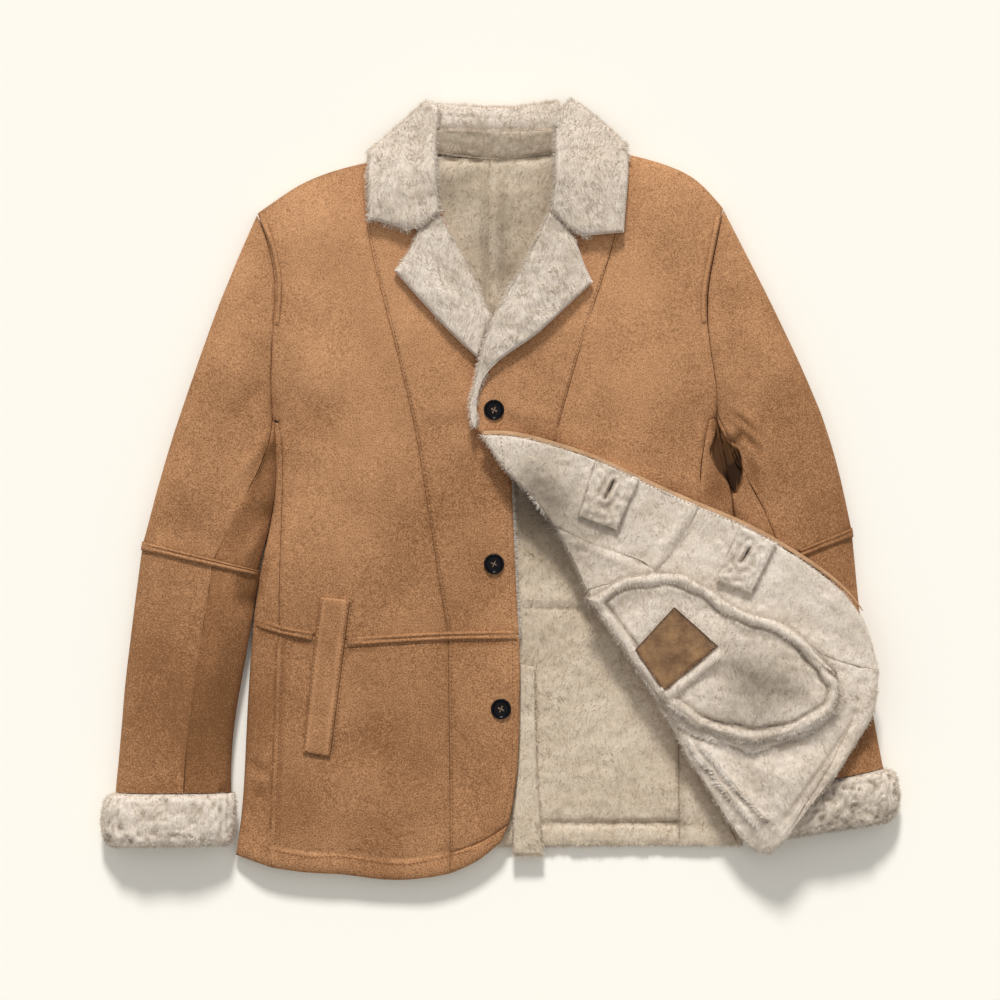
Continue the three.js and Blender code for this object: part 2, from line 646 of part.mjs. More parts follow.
const ridge = [[-4.4, 0.8], [-2.3, 2.8], [0, 1.3], [2.3, 2.8], [4.4, 0.8]];
add('left_waist_welt_side', band(
  line([-243, -132.6], [-219, -140.6], [-203, -143.5], [-188, -146.2]), leftOver, ridge,
), 'suede');
add('left_waist_welt_centre', band(
  line([-152.6, -152], [-106, -149], [-52, -146], [17, -145]), leftOver, ridge, { step: 24 },
), 'suede');
const piping = [[-2.4, 0.8], [-1, 2.6], [1, 2.6], [2.4, 0.8]];
add('left_armhole_piping', band(
  line([-238, 272], [-227.4, 245], [-220.4, 207], [-223, 165]), leftOver, piping,
), 'suede');
add('right_armhole_piping', band(
  line([218.6, 276], [211.4, 240], [203.6, 197], [204, 168]), rightOver, piping,
), 'suede');
add('left_pocket_welt', panel({
  left: line([-180, -107], [-190, -190], [-197, -262]),
  right: line([-150, -110], [-160, -190], [-170, -267]),
  top: line([-180, -107], [-165, -107.5], [-150, -110]),
  bottom: line([-197, -262], [-184, -266], [-170, -267]),
  under: (x, y) => leftOver(x, y) + trimGap, over: (x, y) => leftOver(x, y) + 4.5,
  ends: { left: thinRim, right: thinRim, top: thinRim, bottom: thinRim },
}), 'suede');

// Collar

const fleece = 12; // thickness of collar and lapels
const shoulderAt = (x) => 338 - Math.max(0, Math.abs(x) - 66) * 0.15;
const overShoulder = (front) => (x, y) => {
  const beyond = Math.max(0, y - shoulderAt(x));
  const inside = front(x, Math.min(y, shoulderAt(x)));
  return Math.max(6, inside + 1.5 - beyond * 0.25);
};
const collarEnds = { right: rim, left: rim, top: rim, bottom: rim };
const leafUnder = { left: overShoulder(leftOver), right: overShoulder(rightOver) };
add('collar_left', panel({
  left: line([-81, 384], [-104, 361.6], [-129, 343], [-133, 329], [-131.4, 270]),
  right: line([-61, 377], [-64, 349], [-62.5, 308], [-60, 278]),
  top: line([-81, 384], [-70, 390.5], [-61, 377]),
  bottom: line([-131.4, 270], [-105, 264], [-84.5, 258], [-60, 278]),
  under: leafUnder.left, over: (x, y) => leafUnder.left(x, y) + fleece, ends: collarEnds, step: 20,
}), 'wool');
add('collar_right', panel({
  left: line([57, 375], [55, 350], [55, 308], [50, 279.5]),
  right: line([90, 377], [113.6, 359], [128, 343], [129.6, 329], [124, 257]),
  top: line([57, 375], [72, 391.5], [90, 377]),
  bottom: line([50, 280], [64, 266.5], [77, 254], [97.5, 255], [124, 257]),
  under: leafUnder.right, over: (x, y) => leafUnder.right(x, y) + fleece, ends: collarEnds,
  step: 20,
}), 'wool');
add('collar_back', turned({
  fold: line([-60, 386], [-40, 386.6], [-15, 383], [20, 383], [45, 388], [56, 388]),
  front: line([-62, 360], [0, 358], [55, 360]),
  back: line([-62, 362], [0, 361], [55, 362]),
}), 'wool');
add('collar_stand', panel({
  left: line([-62, 360], [-63, 348], [-62.5, 337.6]),
  right: line([55, 360], [54.4, 348], [54.4, 337.8]),
  top: line([-62, 360], [0, 358], [55, 360]),
  bottom: line([-62.5, 337.6], [-40, 331.9], [-10, 332.2], [30, 331.8], [54.4, 337.8]),
  under: (x, y) => 10.5 * smooth(y, 334, 352),
  over: (x, y) => hide + 10.5 * smooth(y, 334, 356),
}), 'wool');
const lapelLeftUnder = (x, y) => leftOver(x, y) + 0.6;
const lapelRightUnder = (x, y) => rightOver(x, y) + 0.9;
add('lapel_left', panel({
  left: line([-106, 219], [-78.4, 188], [-46, 153], [-21.5, 131]),
  right: line([-60.5, 276], [-38, 236], [-21, 202], [-8, 170]),
  top: line([-106, 219], [-90, 238], [-84.5, 256.5], [-60.5, 276]),
  bottom: line([-21.5, 131], [-15, 153], [-8, 170]),
  under: lapelLeftUnder, over: (x, y) => lapelLeftUnder(x, y) + hide, ends: collarEnds, step: 22,
}), 'wool');
add('lapel_right', panel({
  left: joined(rollRight, edgeRight),
  right: line(
    [93, 208], [56, 173], [33, 152], [9, 136.5], [-13, 118], [-21, 102], [-24, 86], [-23, 68],
  ),
  top: line([50, 279.6], [64, 265.9], [77, 249], [83, 228], [93, 208]),
  bottom: line([-27, 63], [-25, 63], [-23, 68]),
  under: lapelRightUnder, ends: { left: thinRim, right: thinRim, top: rim }, step: 20,
  over: (x, y) => lapelRightUnder(x, y) + 4 + (hide - 4) * smooth(y, 95, 150),
}), 'wool');

// The flap: the lower right front, thrown back over the sleeve

const droop = { edge: 7, tip: 8 };
const flapUnder = (x, y) => {
  const inner = 228 - 0.13 * y;
  const outer = 356 - 0.1 * y;
  const sleeveTop = 34.8 + 6 * smooth(-y, 255, 280);
  const base = frontOver + 1.5 + lift(x);
  const over = (sleeveTop - base) * smooth(x, inner - 35, inner + 26);
  return base + over - droop.edge * smooth(x, outer - 10, outer + 30)
    - droop.tip * smooth(-y, 345, 368);
};
const flapOver = (x, y) => flapUnder(x, y) + hide;
const flap = { under: flapUnder, over: flapOver, step: flapCell };
const flapPrincess = line([54, -36], [100, -57], [140, -70], [155, -81]);
const flapWaistFront = line([200, -13], [189, -38], [172, -64], [155, -81]);
const flapWaistSide = line([86, -100], [120, -90.6], [155, -81]);
const flapPrincessLower = line([155, -81], [240, -122], [324, -166], [378, -180]);
const edgeWidth = 4; // leather that shows along the front edge
// Shares of the lower front edge: where the leather begins to thin, ends, and would be nothing.
const edgeThins = 0.55;
const edgeEnds = 0.84;
const edgeGone = 0.98;
const flapEdgeUpper = line([-17, 59], [8, 59.5], [46, 51], [98, 34], [140, 14], [200, -13]);
const flapEdgeLower = line(
  [200, -13], [243.5, -31], [299, -62.5], [345, -97], [370, -134], [376, -155],
);
const offset = (along, width) => (share) => {
  const run = along(Math.min(1, share + 0.01)).sub(along(Math.max(0, share - 0.01))).normalize();
  return along(share).addScaledVector(new THREE.Vector2(run.y, -run.x), width(share));
};
const fleeceEdgeUpper = offset(flapEdgeUpper, () => edgeWidth);
const fleeceEdgeLower = offset(
  flapEdgeLower, (share) => edgeWidth * (1 - smooth(share, edgeThins, edgeGone)),
);
const upToEdge = (along, edgePoint) => joined(
  (share) => edgePoint.clone().lerp(along(0.12), share), (share) => along(0.12 + 0.88 * share),
);
add('flap_centre_upper', panel({
  left: line([-19.4, 54], [6, 18], [31, -7], [54, -36]), top: fleeceEdgeUpper,
  right: upToEdge(flapWaistFront, fleeceEdgeUpper(1)), bottom: flapPrincess,
  ends: { left: rim }, ...flap,
}), 'wool');
add('flap_centre_lower', panel({
  left: upToEdge(flapWaistFront, fleeceEdgeLower(0)), top: fleeceEdgeLower,
  right: line([371, -157], [374, -168], [378, -180]), bottom: flapPrincessLower,
  ends: { right: rim }, ...flap,
}), 'wool');
add('flap_side_upper', panel({
  left: line([54, -36], [69, -64], [86, -100]), top: flapPrincess,
  right: line([155, -81], [138, -85.7], [120, -90.6]),
  bottom: line([86, -100], [103, -95.3], [120, -90.6]),
  ends: { left: rim }, ...flap,
}), 'wool');
add('flap_side_lower', panel({
  left: line([86, -100], [121, -158], [145, -191], [188, -267], [235, -340], [258, -362]),
  top: joined(flapWaistSide, flapPrincessLower),
  right: line([378, -180], [373, -221], [358, -248], [335, -283], [311, -312], [281, -350]),
  bottom: line([258, -362], [270, -363], [281, -350]),
  ends: { left: rim, right: hem, bottom: rim }, ...flap,
}), 'wool');
const shown = (along) => (share) => along(share * edgeEnds);
const edgeOuter = joined(flapEdgeUpper, shown(flapEdgeLower));
const edgeInner = joined(fleeceEdgeUpper, shown(fleeceEdgeLower));
add('flap_edge', panel({
  left: line(edgeOuter(0), edgeInner(0)), right: line(edgeOuter(1), edgeInner(1)),
  top: edgeOuter, bottom: edgeInner,
  under: (x, y) => flapUnder(x, y) + 1, over: (x, y) => flapUnder(x, y) + 5, step: flapCell,
}), 'cutEdge');

// On the flap

const bag = { thick: 8, roll: 3 };
const bagUnder = (x, y) => flapOver(x, y) + flapTrimGap;
const bagRoll = line(
  [88, -113], [120, -96], [150, -90], [180, -89], [220, -113], [245, -130], [270, -134],
  [290, -143], [310, -163], [327, -184],
);
const bagOver = (x, y) => {
  const near = distanceTo([bagRoll], x, y);
  return bagUnder(x, y) + bag.thick + bag.roll * (1 - smooth(near, 4, 11));
};
add('pocket_bag', panel({
  left: line([86, -108], [94, -121], [121, -158], [145, -191], [164, -213]),
  right: line([335, -182], [338.5, -200], [332, -220]),
  top: line(
    [86, -108], [120, -88], [150, -82], [180, -81], [220, -105], [245, -122], [270, -126],
    [290, -135], [315, -160], [335, -182],
  ),
  bottom: line([164, -213], [200, -238], [245, -252], [285, -246], [310, -236], [332, -220]),
  under: bagUnder, over: bagOver, ends: { top: hem.slice(0, 4), bottom: rim, left: rim, right: rim },
  step: flapCell,
}), 'wool');
const patchUnder = (x, y) => bagOver(x, y) + 0.9;
add('leather_patch', panel({
  left: line([173.6, -116.4], [154, -137.7], [134.6, -159]),
  right: line([217.3, -155.5], [190, -178.4], [162.6, -201.4]),
  top: line([173.6, -116.4], [195.5, -136], [217.3, -155.5]),
  bottom: line([134.6, -159], [148.6, -180.2], [162.6, -201.4]),
  under: patchUnder, over: (x, y) => patchUnder(x, y) + 2.5, step: 14,
}), 'patch');
add('pocket_bag_fold', band(
  line([166, -207], [194, -184], [222, -161]), bagOver, [[-5, 1], [-2, 5], [2, 5], [5, 1]],
  { gap: 0.9 },
), 'wool');
const holePatches = {
  buttonhole_patch_upper: [[95.7, 30], [139, 11], [78, -26.7], [116.7, -41]],
  buttonhole_patch_lower: [[239, -35], [275, -52.7], [216, -90], [250, -104]],
};
for (const [name, [topLeft, topRight, lowLeft, lowRight]] of Object.entries(holePatches)) {
  add(name, panel({
    left: line(topLeft, lowLeft), right: line(topRight, lowRight),
    top: line(topLeft, topRight), bottom: line(lowLeft, lowRight),
    under: (x, y) => flapOver(x, y) + flapTrimGap, over: (x, y) => flapOver(x, y) + 6,
    ends: { left: thinRim, right: thinRim, top: thinRim, bottom: thinRim }, step: 16,
  }), 'wool');
}

// Buttons: dished, with a rim and four holes

const button = { radius: 10.3, thick: 4, rim: 2.2, dish: 1.2, hole: 1.1, holeAt: 2.2, seat: 0.4 };

function solidOf(geometry) {
  const bare = geometry.index ? geometry.toNonIndexed() : geometry.clone();
  bare.deleteAttribute('normal');
  bare.deleteAttribute('uv');
  const merged = mergeVertices(bare, 1e-4);
  return new wasm.Manifold(new wasm.Mesh({
    numProp: 3,
    vertProperties: new Float32Array(merged.attributes.position.array),
    triVerts: new Uint32Array(merged.index.array),
  }));
}

function buttonShape() {
  const { radius, thick, dish } = button;
  const inner = radius - button.rim;
  const profile = [
    [0, 0], [radius - 1.2, 0], [radius, 1.4], [radius - 0.5, thick - 0.5],
    [radius - 1.2, thick], [inner, thick - 0.6], [inner - 1.5, thick - dish], [0, thick - dish],
  ];
  const points = profile.map(([x, y]) => new THREE.Vector2(x, y));
  const disc = new THREE.LatheGeometry(points, 16).rotateX(Math.PI / 2);
  let solid = solidOf(disc);
  for (let i = 0; i < 4; i += 1) {
    const turn = ((i + 0.5) * Math.PI) / 2;
    const drill = new THREE.CylinderGeometry(button.hole, button.hole, 3 * thick, 6);
    drill.rotateX(Math.PI / 2);
    drill.translate(button.holeAt * Math.cos(turn), button.holeAt * Math.sin(turn), 0);
    solid = solid.subtract(solidOf(drill));
  }
  const { vertProperties, triVerts } = solid.getMesh();
  return facingOut(Array.from(vertProperties), Array.from(triVerts));
}

const buttonPlaces = {
  button_top: { x: -6, y: 80, surface: rightOver },
  button_middle: { x: -6, y: -74, surface: leftOver },
  button_lower: { x: 1, y: -219, surface: leftOver },
};
for (const [name, { x, y, surface }] of Object.entries(buttonPlaces)) {
  const shape = buttonShape();
  shape.translate(x, y, surface(x, y) + button.seat);
  add(name, shape, 'horn');
}

// The origin is at the middle of the coat's outline, on the surface it lies on.
const box = new THREE.Box3().setFromObject(coat, true);
coat.position.set(-(box.min.x + box.max.x) / 2, -(box.min.y + box.max.y) / 2, -box.min.z);

export default coat;
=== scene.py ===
import json
import math
import bpy
import bmesh
import numpy as np
from mathutils import Matrix, Vector
from mathutils.bvhtree import BVHTree
from mathutils.kdtree import KDTree

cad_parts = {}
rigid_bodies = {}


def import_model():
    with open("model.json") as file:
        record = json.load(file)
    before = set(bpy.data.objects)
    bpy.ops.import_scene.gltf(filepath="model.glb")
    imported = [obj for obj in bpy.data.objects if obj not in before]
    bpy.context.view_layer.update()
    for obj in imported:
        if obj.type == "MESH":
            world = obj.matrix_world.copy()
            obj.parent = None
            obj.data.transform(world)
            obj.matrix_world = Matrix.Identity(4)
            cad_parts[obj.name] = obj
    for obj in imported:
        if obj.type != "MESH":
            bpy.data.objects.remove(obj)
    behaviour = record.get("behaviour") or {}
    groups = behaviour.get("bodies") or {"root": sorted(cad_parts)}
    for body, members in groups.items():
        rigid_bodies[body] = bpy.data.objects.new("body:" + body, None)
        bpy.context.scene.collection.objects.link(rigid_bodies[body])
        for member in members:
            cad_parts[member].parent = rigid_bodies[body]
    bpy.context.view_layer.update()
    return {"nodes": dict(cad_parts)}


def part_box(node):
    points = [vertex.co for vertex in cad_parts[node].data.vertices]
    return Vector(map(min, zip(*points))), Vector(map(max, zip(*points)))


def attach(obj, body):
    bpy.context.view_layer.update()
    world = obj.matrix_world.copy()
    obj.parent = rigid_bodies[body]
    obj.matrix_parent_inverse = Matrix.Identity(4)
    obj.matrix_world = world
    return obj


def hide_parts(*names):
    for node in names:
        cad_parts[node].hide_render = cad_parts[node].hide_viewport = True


# A short shearling jacket laid flat on its back, suede side out, its lower right front thrown
# back over the sleeve. Tables are in millimetres in plan from the middle of the coat, left and
# right as seen from above with the collar at the top; meshes are in metres.

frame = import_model()
nodes = frame["nodes"]
mm = 0.001
random = np.random.default_rng(752)
print("frame loaded,", len(nodes), "nodes")


# Small helpers

def softNoise(points, size, seed):
    # smooth noise from -1 to 1, with lumps of about the given size in millimetres
    place = points / size + seed * 13.7
    corner = np.floor(place).astype(np.int64)
    part = place - corner
    part = part * part * (3 - 2 * part)
    total = np.zeros(len(points))
    for dx, dy, dz in np.ndindex(2, 2, 2):
        key = (corner[:, 0] + dx) * 73856093
        key ^= (corner[:, 1] + dy) * 19349663
        key ^= (corner[:, 2] + dz) * 83492791
        key = (key ^ (key >> 13)) * 1274126177
        value = ((key ^ (key >> 16)) & 65535) / 32767.5 - 1
        share = np.abs(1 - dx - part[:, 0]) * np.abs(1 - dy - part[:, 1])
        total += value * share * np.abs(1 - dz - part[:, 2])
    return total


def nearestOn(points, line):
    # in plan: how far each point is from a line, how far along it, from 0 to 1, and whether the
    # point lies on its left as it runs
    best = np.full(len(points), 1e9)
    along = np.zeros(len(points))
    isLeft = np.zeros(len(points), bool)
    start = 0.0
    for a, b in zip(line[:-1], line[1:]):
        a = np.array(a, float)
        run = np.array(b, float) - a
        length = np.hypot(*run)
        share = np.clip((points[:, :2] - a) @ run / (run @ run), 0, 1)
        away = points[:, :2] - a - share[:, None] * run
        distance = np.hypot(away[:, 0], away[:, 1])
        near = distance < best
        best = np.where(near, distance, best)
        along = np.where(near, start + share * length, along)
        isLeft = np.where(near, run[0] * away[:, 1] - run[1] * away[:, 0] > 0, isLeft)
        start += length
    return best, along / start, isLeft


def distanceTo(points, line):
    return nearestOn(points, line)[0]


def smoothLine(line, step):
    # a curve through a few points, with a point every step millimetres
    p = np.array([line[0], *line, line[-1]], float)
    fine = []
    for i in range(1, len(p) - 2):
        t = np.linspace(0, 1, 16, endpoint=False)[:, None]
        a, b, c, d = p[i - 1], p[i], p[i + 1], p[i + 2]
        fine.append(0.5 * (2 * b + (c - a) * t + (2 * a - 5 * b + 4 * c - d) * t**2
                           + (3 * b - a - 3 * c + d) * t**3))
    fine = np.concatenate([*fine, p[-1:]])
    lengths = np.concatenate([[0], np.cumsum(np.hypot(*np.diff(fine, axis=0).T))])
    at = np.linspace(0, lengths[-1], max(2, int(round(lengths[-1] / step)) + 1))
    return np.stack([np.interp(at, lengths, fine[:, k]) for k in range(2)], axis=1)


def insideLoop(points, loop):
    # whether each point lies inside a closed loop in plan
    x, y = points[:, 0], points[:, 1]
    inside = np.zeros(len(points), bool)
    for (ax, ay), (bx, by) in zip(loop, [*loop[1:], loop[0]]):
        if ay != by:
            crosses = (ay > y) != (by > y)
            inside ^= crosses & (x < (bx - ax) * (y - ay) / (by - ay) + ax)
    return inside


def ramp(value, low, high):
    part = np.clip((value - low) / (high - low), 0, 1)
    return part * part * (3 - 2 * part)


def bell(distance, width):
    # 1 in the middle, fading out over about the width
    return np.exp(-(distance / width) ** 2)


def unit(vectors):
    return vectors / np.maximum(np.linalg.norm(vectors, axis=1, keepdims=True), 1e-6)


def pointsOf(mesh):
    points = np.empty(len(mesh.vertices) * 3)
    normals = np.empty(len(mesh.vertices) * 3)
    mesh.vertices.foreach_get("co", points)
    mesh.vertices.foreach_get("normal", normals)
    return points.reshape(-1, 3) / mm, normals.reshape(-1, 3)


def setPoints(mesh, points):
    mesh.vertices.foreach_set("co", (points * mm).ravel())
    mesh.update()


def setAttribute(mesh, name, values):
    layer = mesh.attributes.get(name) or mesh.attributes.new(name, "FLOAT", "POINT")
    layer.data.foreach_set("value", values.astype(np.float32))


def attributeOf(mesh, name):
    values = np.empty(len(mesh.vertices), np.float32)
    mesh.attributes[name].data.foreach_get("value", values)
    return values


def linked(name, data):
    thing = bpy.data.objects.new(name, data)
    bpy.context.scene.collection.objects.link(thing)
    return thing


def pieceFrom(name, points, faces, material):
    mesh = bpy.data.meshes.new(name)
    mesh.from_pydata((points * mm).tolist(), [], faces)
    mesh.materials.append(material)
    return linked(name, mesh)


# Finishes

def toLinear(hexCode):
    # an sRGB hex colour as linear red, green, blue and full alpha
    channels = [int(hexCode[i:i + 2], 16) / 255 for i in (1, 3, 5)]
    return [c / 12.92 if c <= 0.04045 else ((c + 0.055) / 1.055) ** 2.4 for c in channels] + [1]


def addNode(material, kind, settings=None, links=None):
    node = material.node_tree.nodes.new(kind)
    for name, value in (settings or {}).items():
        if isinstance(name, int) or name in node.inputs:
            node.inputs[name].default_value = value
        else:
            setattr(node, name, value)
    for name, socket in (links or {}).items():
        material.node_tree.links.new(socket, node.inputs[name])
    return node


# Each look is one real finish. noise: size of its lumps in mm, detail and roughness. cells: size
# of its pebbles in mm. ranges: what is read, its lowest and highest value, what those become.
# layers: what shows the second colour on the first, the third on those and so on. bumps: what
# stands up, strength, depth in mm
usual = (0.35, 0.65)  # where most of a noise's values lie
looks = {
    # Sheepskin suede, flesh side out and brushed: matt, an even open grain about two threads
    # wide, and cloudy patches where the nap lies another way.
    "suede": {
        "shader": {
            "Roughness": 0.95, "Specular IOR Level": 0.15, "Sheen Weight": 0.08, "Sheen Roughness": 0.6,
        },
        "sheenInColour": 1,
        "reads": ["tone"],
        "noise": {
            "cloud": (70, 3, 0.5), "brushed": (7, 2, 0.5), "fine": (1.4, 2, 0.6), "pebble": (3.6, 4, 0.65),
        },
        "ranges": {
            "clouds": ("cloud", *usual, -0.13, 0.13), "nap": ("brushed", *usual, -0.07, 0.07),
            "grains": ("fine", 0.3, 0.7, -0.5, 0.5), "pits": ("fine", 0.3, 0.4, 0.25, 0.0),
            # painted shade: the darkest colour, laid where the tone drops in hollows, creases and under other
            # layers
            "paintedShade": ("tone", -0.9, -0.05, 0.92, 0.0),
        },
        "maths": {"whole": ("ADD", "tone", "clouds", "nap", "grains"), "level": ("MULTIPLY", "whole", 0.76)},
        "layers": ["level", "pits", "paintedShade"],
        "bumps": [("pebble", 0.4, 0.5), ("fine", 0.5, 0.4)],
    },
    # Clipped sheep's wool under the loose fibres: matt, dense, sandier down between the locks.
    "wool": {
        "shader": {
            "Roughness": 1.0, "Specular IOR Level": 0.1, "Sheen Weight": 0.15, "Sheen Roughness": 0.7,
        },
        "reads": ["tone"],
        "noise": {"patch": (40, 4, 0.65), "lock": (7, 4, 0.7), "fine": (1.5, 4, 0.8), "tuft": (5, 4, 0.65)},
        "ranges": {
            "patches": ("patch", *usual, -0.25, 0.25), "locks": ("lock", *usual, -0.3, 0.3),
            # painted shade: the darkest colour, laid where the tone drops under the flap, the collar and in
            # the bag
            "gaps": ("fine", 0.34, 0.5, 0.45, 0.0), "paintedShade": ("tone", -0.7, 0.45, 0.9, 0.0),
        },
        "maths": {"level": ("ADD", "tone", "patches", "locks")},
        "layers": ["level", "gaps", "paintedShade"],
        "bumps": [("tuft", 0.45, 1.2), ("fine", 0.6, 0.6)],
    },
    # Loose wool fibres: paler and a little glossy towards the tip, each lock its own shade.
    "fibre": {
        "shader": {
            "Roughness": 0.85, "Specular IOR Level": 0.25, "Sheen Weight": 0.15, "Sheen Roughness": 0.5,
        },
        "reads": ["tip", "shade", "tone"],
        "noise": {"patch": (42, 3, 0.6)},
        # painted shade: the fibres darken with the painted shade of the cloth below them
        "ranges": {"patches": ("patch", *usual, 0.0, 1.0), "paintedShade": ("tone", -0.7, 0.6, 0.9, 0.0)},
        "maths": {"bleached": ("MULTIPLY", "shade", "patches")},
        "layers": ["tip", "bleached", "paintedShade"],
    },
    # Smooth drummed leather: pebbled grain, a low shine, darker in its creases. A cut edge of
    # hide, burnished, looks the same in a paler colour.
    "leather": {
        "shader": {"Roughness": 0.62, "Specular IOR Level": 0.4, "IOR": 1.5},
        "reads": ["tone"],
        "noise": {"cloud": (22, 4, 0.65), "rub": (3, 3, 0.7)},
        "cells": {"pebbles": 2.4},
        "ranges": {"clouds": ("cloud", *usual, -0.35, 0.35), "rubbed": ("rub", 0.5, 0.7, 0.0, 0.35)},
        "maths": {"level": ("ADD", "tone", "clouds")},
        "layers": ["level", "rubbed"],
        "bumps": [("pebbles", 0.5, 0.35)],
    },
    # Moulded horn-look polyester: near black, polished, with faint blue-grey streaks.
    "horn": {
        "shader": {"Roughness": 0.2, "IOR": 1.4, "Specular IOR Level": 0.22},
        "noise": {"streak": (6, 4, 0.6)},
        "ranges": {"streaks": ("streak", 0.45, 0.75, 0.0, 0.7)},
        "layers": ["streaks"],
    },
    # Waxed polyester thread: two plies show as a fine twist of light and dark.
    "thread": {
        "shader": {"Roughness": 0.7, "Specular IOR Level": 0.3},
        "noise": {"ply": (0.8, 2, 0.5)},
        "ranges": {"twist": ("ply", *usual, 0.0, 1.0)},
        "layers": ["twist"],
    },
    # Plain matt paper under the coat
    "paper": {"shader": {"Roughness": 1.0, "Specular IOR Level": 0.0}, "layers": []},
}


def makeFinish(name, look, colours):
    material = bpy.data.materials.new(name)
    material.use_nodes = True
    surface = material.node_tree.nodes["Principled BSDF"]
    for socket, value in look["shader"].items():
        surface.inputs[socket].default_value = value
    if "sheenInColour" in look:
        surface.inputs["Sheen Tint"].default_value = toLinear(colours[look["sheenInColour"]])
    place = addNode(material, "ShaderNodeTexCoord").outputs["Object"]
    values = {}
    for label in look.get("reads", []):
        node = addNode(material, "ShaderNodeAttribute", {"attribute_name": label})
        values[label] = node.outputs["Fac"]
    for label, (size, detail, rough) in look.get("noise", {}).items():
        settings = {"Scale": 1 / (size * mm), "Detail": detail, "Roughness": rough}
        node = addNode(material, "ShaderNodeTexNoise", settings, {"Vector": place})
        values[label] = node.outputs["Fac"]
    for label, size in look.get("cells", {}).items():
        node = addNode(material, "ShaderNodeTexVoronoi", {"Scale": 1 / (size * mm)}, {"Vector": place})
        values[label] = node.outputs["Distance"]
    for label, (source, fromLow, fromHigh, low, high) in look.get("ranges", {}).items():
        settings = {"From Min": fromLow, "From Max": fromHigh, "To Min": low, "To Max": high}
        node = addNode(material, "ShaderNodeMapRange", settings, {"Value": values[source]})
        values[label] = node.outputs["Result"]
    for label, (operation, first, *others) in look.get("maths", {}).items():
        value = values[first]
        for other in others:
            settings, links = {"operation": operation}, {0: value}
            if isinstance(other, float):
                settings[1] = other
            else:
                links[1] = values[other]
            value = addNode(material, "ShaderNodeMath", settings, links).outputs[0]
        values[label] = value
    colour = None
    for i, share in enumerate(look["layers"]):
        settings = {"data_type": "RGBA", "clamp_factor": True, 7: toLinear(colours[i + 1])}
        links = {0: values[share]}
        if colour is None:
            settings[6] = toLinear(colours[0])
        else:
            links[6] = colour
        colour = addNode(material, "ShaderNodeMix", settings, links).outputs[2]
    if colour is None:
        surface.inputs["Base Color"].default_value = toLinear(colours[0])
    else:
        material.node_tree.links.new(colour, surface.inputs["Base Color"])
    bump = None
    for source, strength, depth in look.get("bumps", []):
        links = {"Height": values[source]}
        if bump is not None:
            links["Normal"] = bump
        settings = {"Strength": strength, "Distance": depth * mm}
        bump = addNode(material, "ShaderNodeBump", settings, links).outputs["Normal"]
    if bump is not None:
        material.node_tree.links.new(bump, surface.inputs["Normal"])
    return material


# Columns: look, name, then its colours from the ground up; the last colour of each suede, wool and fibre
# finish is painted shade
finishTable = {
    "suede": ("suede", "brushedSuede", "#825938", "#dba578", "#6e4a2e", "#24150b"),
    # the same suede made darker, as painted shade on the under-sleeve
    "underSleeve": ("suede", "brushedSuedeUndersleeve", "#765030", "#c48e64", "#5f4029", "#24150b"),
    "wool": ("wool", "clippedWool", "#cdbda9", "#e9dccd", "#a7957f", "#6f6152"),
    "insideWool": ("wool", "clippedWoolInside", "#bca98f", "#dccbb4", "#93806a", "#5b4e41"),
    "cutEdge": ("leather", "cutHideEdge", "#b08660", "#d2aa80", "#dcbc95"),
    "patch": ("leather", "drummedLeather", "#573a23", "#9e7850", "#ad8860"),
    "horn": ("horn", "polishedHorn", "#050408", "#12131c"),
    "fibre": ("fibre", "looseFibres", "#bfae98", "#efe3d4", "#faf3e9", "#7d6f60"),
    "insideFibre": ("fibre", "looseFibresInside", "#b3a088", "#dfcfb8", "#ebdfcc", "#665848"),
    "tanThread": ("thread", "tanThread", "#4b2f1c", "#7a5233"),
    "paleThread": ("thread", "paleThread", "#8f7354", "#cfb898"),
    "edgeThread": ("thread", "edgeThread", "#43352a", "#75604c"),
    # painted shadow for the buttonhole openings
    "slitThread": ("thread", "slitThread", "#1a130e", "#30241b"),
    "buttonThread": ("thread", "buttonThread", "#5c4e43", "#a39384"),
    "floor": ("paper", "paperFloor", "#fefaef"),
}
finishes = {}
for key, (look, name, *colours) in finishTable.items():
    finishes[key] = makeFinish(name, looks[look], colours)
print("finishes made:", len(finishes))


# Cloth: each panel starts as its solid's form, rounded, then creased along listed lines

clothPieces = {}
# Lengths in metres, angles in radians
clothMaking = {
    "weld": 0.00002,  # corners nearer than this are one
    "flatAngle": 0.35, "squareAngle": 3.1,  # triangles that make one four-sided face
    "creaseAngle": 1.15, "cornerAngle": 0.45,  # edges and upright corners that stay crisp
    "edgeAngle": 0.95,  # edges that count as the rim of a suede piece
    "smoothAngle": math.radians(62), "thinAngle": math.radians(1.5),
    "upright": 0.75, "downwards": -0.985,  # how far a face's normal may point up or down
}


